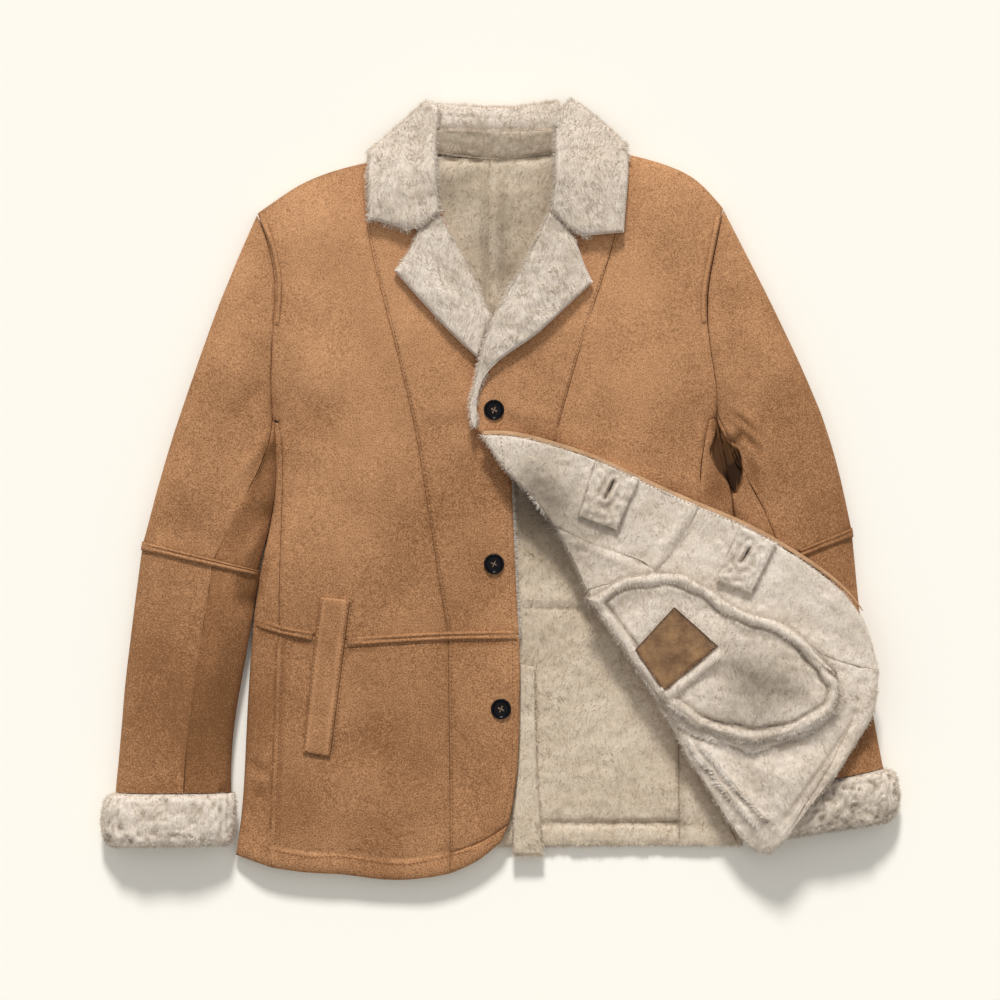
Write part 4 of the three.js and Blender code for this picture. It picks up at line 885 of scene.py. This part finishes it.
# Sewing: stitches as short closed lozenges. Columns of a row: thread, pitch, length, half width,
# whether they lie across the line, line
alongSeam = ("tanThread", 4.2, 2.3, 0.45, False)
alongEdge = ("edgeThread", 2.6, 1.3, 0.34, False)
sewing = {
    "princess_left": (*alongSeam, [
        (-135.5, 324), (-132.5, 277), (-124.5, 232), (-102.5, 145), (-81.5, 56), (-65.5, -45),
        (-49.5, -140)]),
    "princess_left_lower": (*alongSeam, [(-48, -152), (-48.6, -222), (-47.6, -298), (-47.6, -370)]),
    "princess_right": (*alongSeam, [(117, 252), (100.6, 212), (86.6, 171), (64, 94), (52.5, 44)]),
    "front_edge_left": (*alongSeam, [(-1, 66), (5, 7), (8, -70), (12, -139)]),
    "front_edge_left_lower": (*alongSeam, [
        (12, -152), (12.5, -254), (6, -318), (-3, -343), (-14, -357)]),
    "hem_left": (*alongSeam, [
        (-248, -349), (-230, -360), (-193, -367), (-158, -367), (-128, -373), (-96, -375),
        (-63, -370), (-32, -361)]),
    "side_seam_left": (*alongSeam, [(-218.6, -152), (-221.4, -243), (-225.4, -356)]),
    "side_seam_left_outer": (*alongSeam, [(-223.6, -152), (-226.6, -243), (-230.6, -356)]),
    "waist_left": (*alongSeam, [(-240, -140), (-212, -150), (-191, -153.5)]),
    "waist_left_centre": (*alongSeam, [(-150, -158), (-106, -155.5), (-52, -152.5), (14, -151.5)]),
    "welt_inner": (*alongSeam, [(-152.4, -113), (-162.4, -190), (-171.4, -262)]),
    "welt_outer": (*alongSeam, [(-178, -108), (-188, -190), (-195.4, -258)]),
    "welt_side": (*alongSeam, [(-148, -110), (-158, -190), (-167.6, -266)]),
    "welt_top": (*alongSeam, [(-178, -108), (-164, -108.6), (-151, -110.6)]),
    "welt_foot": (*alongSeam, [(-195, -260), (-184, -266.4), (-170, -268)]),
    "flap_rim": (*alongSeam, [
        (-16, 54.5), (8, 54), (45, 45.6), (97, 28.6), (139, 8.6), (199, -18.6), (242, -36.5),
        (297, -67.6), (340, -98)]),
    "side_inside": ("paleThread", 3.6, 2.4, 0.4, False, [(178, -242), (178.5, -290), (179, -350)]),
    "collar_edge_left": (*alongEdge, [(-130, 271.8), (-105, 265.8), (-87, 260.4)]),
    "collar_edge_right": (*alongEdge, [(123.2, 258.4), (98, 256.4), (79, 255.6)]),
    "collar_side_right": (*alongEdge, [(123.6, 260), (126.2, 300), (128.4, 328)]),
    "lapel_edge_left": (*alongEdge, [(-104.6, 219), (-77.4, 189.4), (-45, 154.4), (-22, 133)]),
    "lapel_notch_right": (*alongEdge, [(75.8, 248), (81.8, 227.8), (91.2, 209)]),
    "lapel_edge_right": (*alongEdge, [(91.6, 208.2), (55.4, 174), (32.4, 153), (8.6, 137.8), (-12, 119.6)]),
    "hole_lips_upper": ("paleThread", 1.5, 3.4, 0.4, True, [(116.4, 9), (107.6, -9)]),
    "hole_lips_upper_near": ("paleThread", 1.5, 3.4, 0.4, True, [(110.4, 9), (101.8, -8.6)]),
    # a dark lozenge down each slit: painted shadow in the opening
    "hole_slit_upper": ("slitThread", 17, 17, 0.8, False, [(113.4, 8.6), (105.4, -7.6)]),
    "hole_lips_lower": ("paleThread", 1.5, 3.4, 0.4, True, [(251.4, -57.6), (243, -72.6)]),
    "hole_lips_lower_near": ("paleThread", 1.5, 3.4, 0.4, True, [(245.4, -56.4), (237.2, -71)]),
    "hole_slit_lower": ("slitThread", 15, 15, 0.8, False, [(248.4, -57.4), (240.4, -71.8)]),
    "patch_edge": (*alongEdge, [
        (173.4, -120), (139, -158.6), (162.4, -196.5), (213, -155.6), (173.4, -120)]),
}
straightRows = ("patch_edge", "hole_slit_upper", "hole_slit_lower")
sewnPieces = {}
for name, (thread, pitch, length, halfWidth, across, line) in sewing.items():
    if name in straightRows:
        legs = [smoothLine([a, b], pitch) for a, b in zip(line[:-1], line[1:])]
        route = np.concatenate(legs)
    else:
        route = smoothLine(line, pitch)
    verts, faces = [], []
    for here, ahead in zip(route[:-1], route[1:]):
        middle, normal = topAt(*((here + ahead) / 2))
        if middle is None or np.hypot(*(ahead - here)) < 0.1:
            continue
        run = np.array([*(ahead - here), 0.0])
        run -= normal * (run @ normal)
        run /= max(np.linalg.norm(run), 1e-6)
        side = np.cross(normal, run)
        if across:
            run, side = side, -run
        middle = middle + normal * 0.1
        ring = [
            middle - run * length / 2, middle + side * halfWidth,
            middle + run * length / 2, middle - side * halfWidth,
        ]
        start = len(verts)
        verts += [*ring, middle + normal * 0.3, middle - normal * 0.3]
        for i in range(4):
            following = (i + 1) % 4
            faces.append([start + following, start + i, start + 4])
            faces.append([start + i, start + following, start + 5])
    if verts:
        sewnPieces[name] = pieceFrom("stitches_" + name, np.array(verts), faces, finishes[thread])
print("seams sewn:", len(sewnPieces))


# Wool fibres: many short spikes on the wool that shows

insideSeen = [
    [(15, 30), (20.5, -145), (21.5, -254), (15, -322), (4, -352), (12, -368), (240, -364), (257, -361),
     (235, -334), (188, -262), (164, -213), (121, -156), (86, -100), (54, -36), (31, -5)],
    [(-59, 336), (-40, 358), (0, 360), (48, 358), (52, 336), (48, 285), (33, 245), (12, 208), (-8, 172),
     (-22, 206), (-38, 238), (-58, 279)],
]
frontEdge = [(8, 10), (24, 10), (30, -150), (8, -150)]
# Columns: pieces, how many fibres, length, width, how far they lean, finish, where it shows,
# lowest and highest slope that they grow on
coats = {
    "wool_collar": (
        ["collar_left", "collar_right", "collar_back"], 15000, 4.4, 0.55, 1.0, "fibre", None, (-0.3, 1)),
    "wool_lapels": (["lapel_left", "lapel_right"], 9000, 4.4, 0.55, 1.0, "fibre", None, (-0.3, 1)),
    "wool_cuffs": (["left_cuff", "right_cuff"], 12000, 3.2, 0.6, 0.5, "fibre", None, (-0.3, 1)),
    "wool_flap_centre": (
        ["flap_centre_upper", "flap_centre_lower", "flap_side_upper"], 13000, 3.4, 0.55, 1.0,
        "fibre", None, (-0.2, 1)),
    "wool_flap_side": (["flap_side_lower"], 12000, 3.6, 0.6, 1.0, "fibre", None, (-0.3, 1)),
    "wool_pocket_bag": (
        ["pocket_bag", "pocket_bag_fold"], 10000, 3.8, 0.55, 0.9, "fibre", None, (-0.3, 1)),
    "wool_buttonhole_patches": (
        ["buttonhole_patch_upper", "buttonhole_patch_lower"], 3000, 3.0, 0.5, 0.7, "fibre", None,
        (-0.2, 1)),
    "wool_inside": (
        ["back_upper_left", "back_upper_right", "back_lower_left", "back_lower_right",
         "vent_underlap", "right_side_lower", "collar_stand"], 15000, 3.6, 0.65, 1.0,
        "insideFibre", insideSeen, (-0.3, 1)),
    "wool_front_edge": (
        ["left_front_centre_upper"], 2000, 4.0, 0.6, 0.2, "fibre", [frontEdge], (-0.7, 0.3)),
}
fibrePieces = {}
# Cut edges and slits that no fibre covers, and how wide they stay bare
bareRows = [row for row in sewing if row.startswith(("collar", "lapel", "hole_lips"))]
bareWidth = 2.0


# How fibres lie: shortest length and how much more, as shares; how loosely they point; how far the
# root goes in, in mm; how steep they stay; swirls of their lay, as radians and size in mm
fibreLay = {
    "shortest": 0.55, "more": 0.9, "loose": 0.3, "twist": 0.2, "rootDepth": 0.5, "leastRise": 0.35,
    "swirl": (2.6, 38), "fineSwirl": (2.2, 11), "onSides": 1.5,
}


def growFibres(name, pieces, count, length, width, lean, finish, loops, slopeRange):
    corners, slopes, tones = [], [], []
    for piece in pieces:
        mesh = clothPieces[piece].data
        mesh.calc_loop_triangles()
        points, normals = pointsOf(mesh)
        triangles = np.empty(len(mesh.loop_triangles) * 3, np.int32)
        mesh.loop_triangles.foreach_get("vertices", triangles)
        triangles = triangles.reshape(-1, 3)
        corners.append(points[triangles])
        slopes.append(normals[triangles])
        # each fibre takes the tone of the cloth below it, painted shade and highlights included
        tones.append(attributeOf(mesh, "tone")[triangles].mean(axis=1))
    corners = np.concatenate(corners)
    slopes = np.concatenate(slopes)
    tones = np.concatenate(tones)
    cross = np.cross(corners[:, 1] - corners[:, 0], corners[:, 2] - corners[:, 0])
    area = np.linalg.norm(cross, axis=1)
    up = cross[:, 2] / np.maximum(area, 1e-9)
    shows = (up > slopeRange[0]) & (up <= slopeRange[1])
    if loops:
        middles = corners.mean(axis=1)
        inLoop = np.zeros(len(middles), bool)
        for loop in loops:
            inLoop |= insideLoop(middles, loop)
        shows &= inLoop
    area = np.where(shows, area * (1 + fibreLay["onSides"] * (1 - np.clip(up, 0, 1))), 0)
    chosen = random.choice(len(area), count, p=area / area.sum())
    u, v = random.random((2, count, 1))
    u, v = np.where(u + v > 1, 1 - u, u), np.where(u + v > 1, 1 - v, v)
    a, b, c = (corners[chosen, k] for k in range(3))
    roots = a + u * (b - a) + v * (c - a)
    na, nb, nc = (slopes[chosen, k] for k in range(3))
    normals = na + u * (nb - na) + v * (nc - na)
    normals = unit(normals)
    (swing, size), (fineSwing, fineSize) = fibreLay["swirl"], fibreLay["fineSwirl"]
    turn = swing * softNoise(roots, size, 8) + fineSwing * softNoise(roots, fineSize, 9) - math.pi / 2
    lay = np.stack([np.cos(turn), np.sin(turn), np.zeros(count)], axis=1)
    way = normals + lay * lean + random.normal(0, fibreLay["loose"], (count, 3))
    rise = (way * normals).sum(1, keepdims=True)
    way -= normals * np.minimum(rise - fibreLay["leastRise"], 0)
    way = unit(way)
    lengths = length * (fibreLay["shortest"] + fibreLay["more"] * random.random((count, 1)))
    side = unit(np.cross(way, normals + random.normal(0, fibreLay["twist"], (count, 3))))
    shade = random.random(count) ** 2
    kept = np.ones(count, bool)
    for row in bareRows:
        kept &= distanceTo(roots, sewing[row][-1]) > bareWidth
    roots, normals, way, side, lengths, shade, tones = (
        values[kept] for values in (roots, normals, way, side, lengths, shade, tones[chosen]))
    makeSpikes(name, roots - normals * fibreLay["rootDepth"], way, side, lengths, width, shade, tones, finish)


def makeSpikes(name, roots, way, side, lengths, width, shade, tones, finish):
    # each fibre is a closed three-sided spike
    count = len(roots)
    other = np.cross(way, side)
    half = width / 2
    verts = np.empty((count, 4, 3))
    verts[:, 0] = roots + side * half
    verts[:, 1] = roots - side * half * 0.5 + other * half * 0.87
    verts[:, 2] = roots - side * half * 0.5 - other * half * 0.87
    verts[:, 3] = roots + way * lengths
    verts[:, :, 2] = np.maximum(verts[:, :, 2], 0.05)
    start = np.arange(count)[:, None] * 4
    pattern = np.array([[0, 1, 3], [1, 2, 3], [2, 0, 3], [0, 2, 1]])
    faces = (start[:, None, :] + pattern[None]).reshape(-1, 3)
    piece = pieceFrom(name, verts.reshape(-1, 3), faces.tolist(), finishes[finish])
    setAttribute(piece.data, "tip", np.tile([0.0, 0.0, 0.0, 1.0], count))
    setAttribute(piece.data, "shade", np.repeat(shade, 4))
    setAttribute(piece.data, "tone", np.repeat(tones, 4))
    fibrePieces[name] = piece


# Ragged wool edges. Columns: how many fibres, length, how far each way they spring from the line,
# finish, line with the fibres pointing to its right as it runs
fringes = {
    "fringe_second_layer": (1500, 6.0, 2.5, "fibre", [
        (160, -217), (178, -233), (206, -248), (245, -260), (290, -251), (330, -227), (343, -208)]),
    "fringe_bag": (1500, 5.0, 2.0, "fibre", [
        (166, -210), (200, -236), (245, -251), (288, -243), (314, -233), (336, -214), (339, -198)]),
    "fringe_flap_layer": (900, 6.5, 2.5, "fibre", [(183, -245), (201, -271), (227, -303), (261, -341)]),
    "fringe_flap_inner": (800, 6.0, 2.5, "fibre", [(195, -249), (217, -277), (245, -307), (274, -337)]),
    "fringe_flap_side": (1400, 5.0, 1.5, "fibre", [
        (-14, 50), (30, -2), (62, -60), (84, -108), (118, -158), (164, -216), (206, -280), (254, -356)]),
    "fringe_flap_hem": (900, 4.0, 1.5, "fibre", [(262, -356), (300, -330), (344, -262), (372, -196)]),
    "fringe_hem": (1300, 4.0, 1.5, "insideFibre", [(22, -353), (90, -354), (160, -354), (238, -354)]),
    "fringe_collar_left": (500, 4.5, 3.0, "fibre", [(-64, 362), (-63.5, 376), (-66, 390)]),
    "fringe_collar_right": (500, 4.5, 3.0, "fibre", [(60, 390), (57, 376), (57.5, 362)]),
    "fringe_collar_roll": (500, 4.0, 2.0, "fibre", [(56, 357), (20, 356), (-20, 356), (-60, 357)]),
    "fringe_neck": (600, 4.5, 2.0, "insideFibre", [(52, 336), (20, 333), (-4, 332), (-30, 334), (-58, 335)]),
    "fringe_vent": (200, 4.0, 1.2, "insideFibre", [(14, -366), (42, -366)]),
}


fringeLay = {
    "shortest": 0.5, "more": 0.8, "loose": 0.3, "rootDepth": 0.6, "rise": (-0.2, 0.5),
    "sway": 1.1, "width": 0.7, "tone": 0.7, "beyond": 0.4, "palest": 0.6,
}


def growFringe(name, count, length, width, finish, line):
    route = smoothLine(line, 1.0)
    at = random.random(count) * (len(route) - 1.001)
    step = at.astype(int)
    part = (at - step)[:, None]
    run = route[step + 1] - route[step]
    run /= np.maximum(np.hypot(run[:, 0], run[:, 1]), 1e-6)[:, None]
    out = np.stack([run[:, 1], -run[:, 0]], axis=1)
    places = route[step] * (1 - part) + route[step + 1] * part
    places += out * random.uniform(-width, width * fringeLay["beyond"], (count, 1))
    roots, ways = [], []
    for place, away, lead in zip(places, out, run):
        top, normal = topAt(*place)
        if top is None:
            continue
        sway = fringeLay["sway"] * math.sin(place[0] / 7 + place[1] / 5)
        turned = away + lead * sway + random.normal(0, fringeLay["loose"], 2)
        roots.append(top - normal * fringeLay["rootDepth"])
        ways.append([*turned, random.uniform(*fringeLay["rise"])])
    roots, ways = np.array(roots), np.array(ways)
    ways = unit(ways)
    side = unit(np.cross(ways, [0.0, 0.0, 1.0]))
    count = len(roots)
    lengths = length * (fringeLay["shortest"] + fringeLay["more"] * random.random((count, 1)))
    shade = 1 - fringeLay["palest"] + fringeLay["palest"] * random.random(count)
    tones = np.full(count, fringeLay["tone"])
    makeSpikes(name, roots, ways, side, lengths, fringeLay["width"], shade, tones, finish)


for name, coat in coats.items():
    growFibres(name, *coat)
for name, fringe in fringes.items():
    growFringe(name, *fringe)
print("wool grown:", {name: len(piece.data.polygons) for name, piece in fibrePieces.items()})


# Buttons: one is turned and drilled, then copied to the three places

buttonShape = {
    "sides": 48, "radius": 10.2, "thick": 3.7, "rim": 1.9, "step": 0.8, "dish": 1.2, "edge": 0.55,
    "holeRadius": 1.15, "holeAt": 2.5, "threadRadius": 0.45, "turned": 0.35,
}


def addCylinder(sides, radius, depth, place, rotation=(0, 0, 0)):
    bpy.ops.object.select_all(action="DESELECT")
    bpy.ops.mesh.primitive_cylinder_add(
        vertices=sides, radius=radius, depth=depth, location=place, rotation=rotation,
    )
    return bpy.context.object


def makeButton():
    shape = buttonShape
    button = addCylinder(
        shape["sides"], shape["radius"] * mm, shape["thick"] * mm, (0, 0, shape["thick"] * mm / 2),
    )
    bpy.ops.object.mode_set(mode="EDIT")
    bpy.ops.mesh.select_mode(type="FACE")
    bpy.ops.mesh.select_all(action="DESELECT")
    disc = bmesh.from_edit_mesh(button.data)
    for face in disc.faces:
        face.select = face.normal.z > 0.9
    bmesh.update_edit_mesh(button.data)
    bpy.ops.mesh.inset(thickness=shape["rim"] * mm, depth=0)
    bpy.ops.mesh.inset(thickness=shape["step"] * mm, depth=-shape["dish"] * mm)
    bpy.ops.object.mode_set(mode="OBJECT")
    softened = button.modifiers.new("softened", "BEVEL")
    softened.width = shape["edge"] * mm
    softened.segments = 3
    softened.limit_method = "ANGLE"
    softened.angle_limit = math.radians(25)
    bpy.ops.object.modifier_apply(modifier="softened")
    for i in range(4):
        turn = (i + 0.5) * math.pi / 2 + shape["turned"]
        reach = shape["holeAt"] * mm
        place = (reach * math.cos(turn), reach * math.sin(turn), 0)
        drill = addCylinder(16, shape["holeRadius"] * mm, 0.02, place)
        bpy.context.view_layer.objects.active = button
        hole = button.modifiers.new("hole", "BOOLEAN")
        hole.operation = "DIFFERENCE"
        hole.object = drill
        bpy.ops.object.modifier_apply(modifier="hole")
        bpy.data.objects.remove(drill)
    bpy.ops.object.transform_apply(location=True, rotation=True, scale=True)
    button.data.shade_smooth()
    button.data.set_sharp_from_angle(angle=math.radians(35))
    button.data.materials.clear()
    button.data.materials.append(finishes["horn"])
    return button


def makeButtonThread():
    # two crossing bars of thread between opposite holes
    shape = buttonShape
    bars = []
    for i in range(2):
        turn = (i + 0.5) * math.pi / 2 + shape["turned"]
        height = (shape["thick"] - shape["dish"] + 0.25 + 0.3 * i) * mm
        bar = addCylinder(
            10, shape["threadRadius"] * mm, 2.1 * shape["holeAt"] * mm, (0, 0, height),
            (0, math.pi / 2, turn),
        )
        bpy.ops.object.transform_apply(location=True, rotation=True, scale=True)
        bpy.ops.object.mode_set(mode="EDIT")
        bpy.ops.mesh.select_all(action="SELECT")
        bpy.ops.mesh.bevel(offset=0.15 * mm, segments=2, affect="EDGES")
        bpy.ops.object.mode_set(mode="OBJECT")
        bars.append(bar)
    bars[0].select_set(True)
    bars[1].select_set(True)
    bpy.context.view_layer.objects.active = bars[0]
    bpy.ops.object.join()
    thread = bpy.context.object
    thread.data.materials.clear()
    thread.data.materials.append(finishes["buttonThread"])
    return thread


firstButton = makeButton()
firstThread = makeButtonThread()
buttons = {}
for name in ("button_top", "button_middle", "button_lower"):
    low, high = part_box(name)
    middle = (low + high) / 2
    placed = []
    for source, label in ((firstButton, "horn"), (firstThread, "thread")):
        mesh = source.data.copy()
        mesh.transform(Matrix.Translation((middle.x, middle.y, low.z)))
        placed.append(linked(name + "_" + label, mesh))
    buttons[name] = placed
for source in (firstButton, firstThread):
    bpy.data.objects.remove(source)
print("buttons placed:", len(buttons))


# Every piece rides on the coat and stands for its solid

trimOf = {}
for name, (finish, panel) in trims.items():
    trimOf.setdefault(panel, []).append(clothPieces[name])
fibreOf = {
    "collar_left": "wool_collar", "lapel_left": "wool_lapels", "left_cuff": "wool_cuffs",
    "flap_centre_lower": "wool_flap_centre", "flap_side_lower": "wool_flap_side",
    "pocket_bag": "wool_pocket_bag", "buttonhole_patch_upper": "wool_buttonhole_patches",
    "back_upper_right": "wool_inside",
    "left_front_centre_upper": "wool_front_edge",
}
for name, (width, length, area, levels, cover) in panels.items():
    kind, upper, lower, held = covers[cover]
    piece = clothPieces[name]
    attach(piece, "root")
    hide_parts(name)
    extras = list(trimOf.get(name, []))
    if name in fibreOf:
        extras.append(fibrePieces[fibreOf[name]])
for name, (finish, panel) in trims.items():
    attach(clothPieces[name], "root")
    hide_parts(name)
for piece in fibrePieces.values():
    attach(piece, "root")
for piece in sewnPieces.values():
    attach(piece, "root")
for name, (button, thread) in buttons.items():
    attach(button, "root")
    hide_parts(name)
    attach(thread, "root")


# Studio: pale floor, one broad soft light from the collar's side, camera straight above

studio = {
    # metres, but the lens and its sensor in mm; the view is as wide as the picture at viewHeight
    "floorSize": 8, "lens": 180, "sensor": 36, "viewWidth": 1.0, "viewHeight": 0.022,
    "viewX": -0.00025, "viewY": -0.01024,
    # angles in degrees; the sky is domeEdge at the horizon and domeRise more overhead
    "sunShare": 0.5, "sunTilt": 58, "sunTurn": 2, "sunAngle": 10,
    "skyStrength": 0.5, "domeEdge": 0.45, "domeRise": 1.1,
}
bpy.ops.object.select_all(action="DESELECT")
bpy.ops.mesh.primitive_plane_add(size=studio["floorSize"], location=(0, 0, 0))
floor = bpy.context.object
floor.name = "floor"
floor.data.materials.append(finishes["floor"])

sky = bpy.data.worlds.new("studioSky")
sky.use_nodes = True
# the dome is brightest overhead, as under a wide soft box
ray = addNode(sky, "ShaderNodeTexCoord").outputs["Object"]
height = addNode(sky, "ShaderNodeSeparateXYZ", {}, {0: ray}).outputs["Z"]
square = addNode(sky, "ShaderNodeMath", {"operation": "MULTIPLY"}, {0: height, 1: height})
dome = addNode(
    sky, "ShaderNodeMath",
    {"operation": "MULTIPLY_ADD", 1: studio["domeRise"], 2: studio["domeEdge"]},
    {0: square.outputs[0]},
).outputs[0]
sky.node_tree.links.new(dome, sky.node_tree.nodes["Background"].inputs["Color"])
sky.node_tree.nodes["Background"].inputs["Strength"].default_value = studio["skyStrength"]
bpy.context.scene.world = sky

lamp = bpy.data.lights.new("softLight", "SUN")
lamp.angle = math.radians(studio["sunAngle"])
lamp.energy = studio["sunShare"] * math.pi / math.cos(math.radians(studio["sunTilt"]))
light = linked("softLight", lamp)
light.rotation_euler = (-math.radians(studio["sunTilt"]), 0, math.radians(studio["sunTurn"]))

view = bpy.data.cameras.new("camera")
view.lens = studio["lens"]
view.sensor_width = studio["sensor"]
view.clip_end = 100
camera = linked("camera", view)
camera.location = (studio["viewX"], studio["viewY"],
                   studio["viewHeight"] + studio["viewWidth"] * studio["lens"] / studio["sensor"])
bpy.context.scene.camera = camera
bpy.context.scene.view_settings.view_transform = "Standard"
print("studio set")

added = {}
for piece in bpy.context.scene.objects:
    if piece.type == "MESH" and piece.name not in nodes:
        piece.data.calc_loop_triangles()
        added[piece.name] = len(piece.data.loop_triangles)
print("triangles added:", sum(added.values()), "most:", max(added.values()))
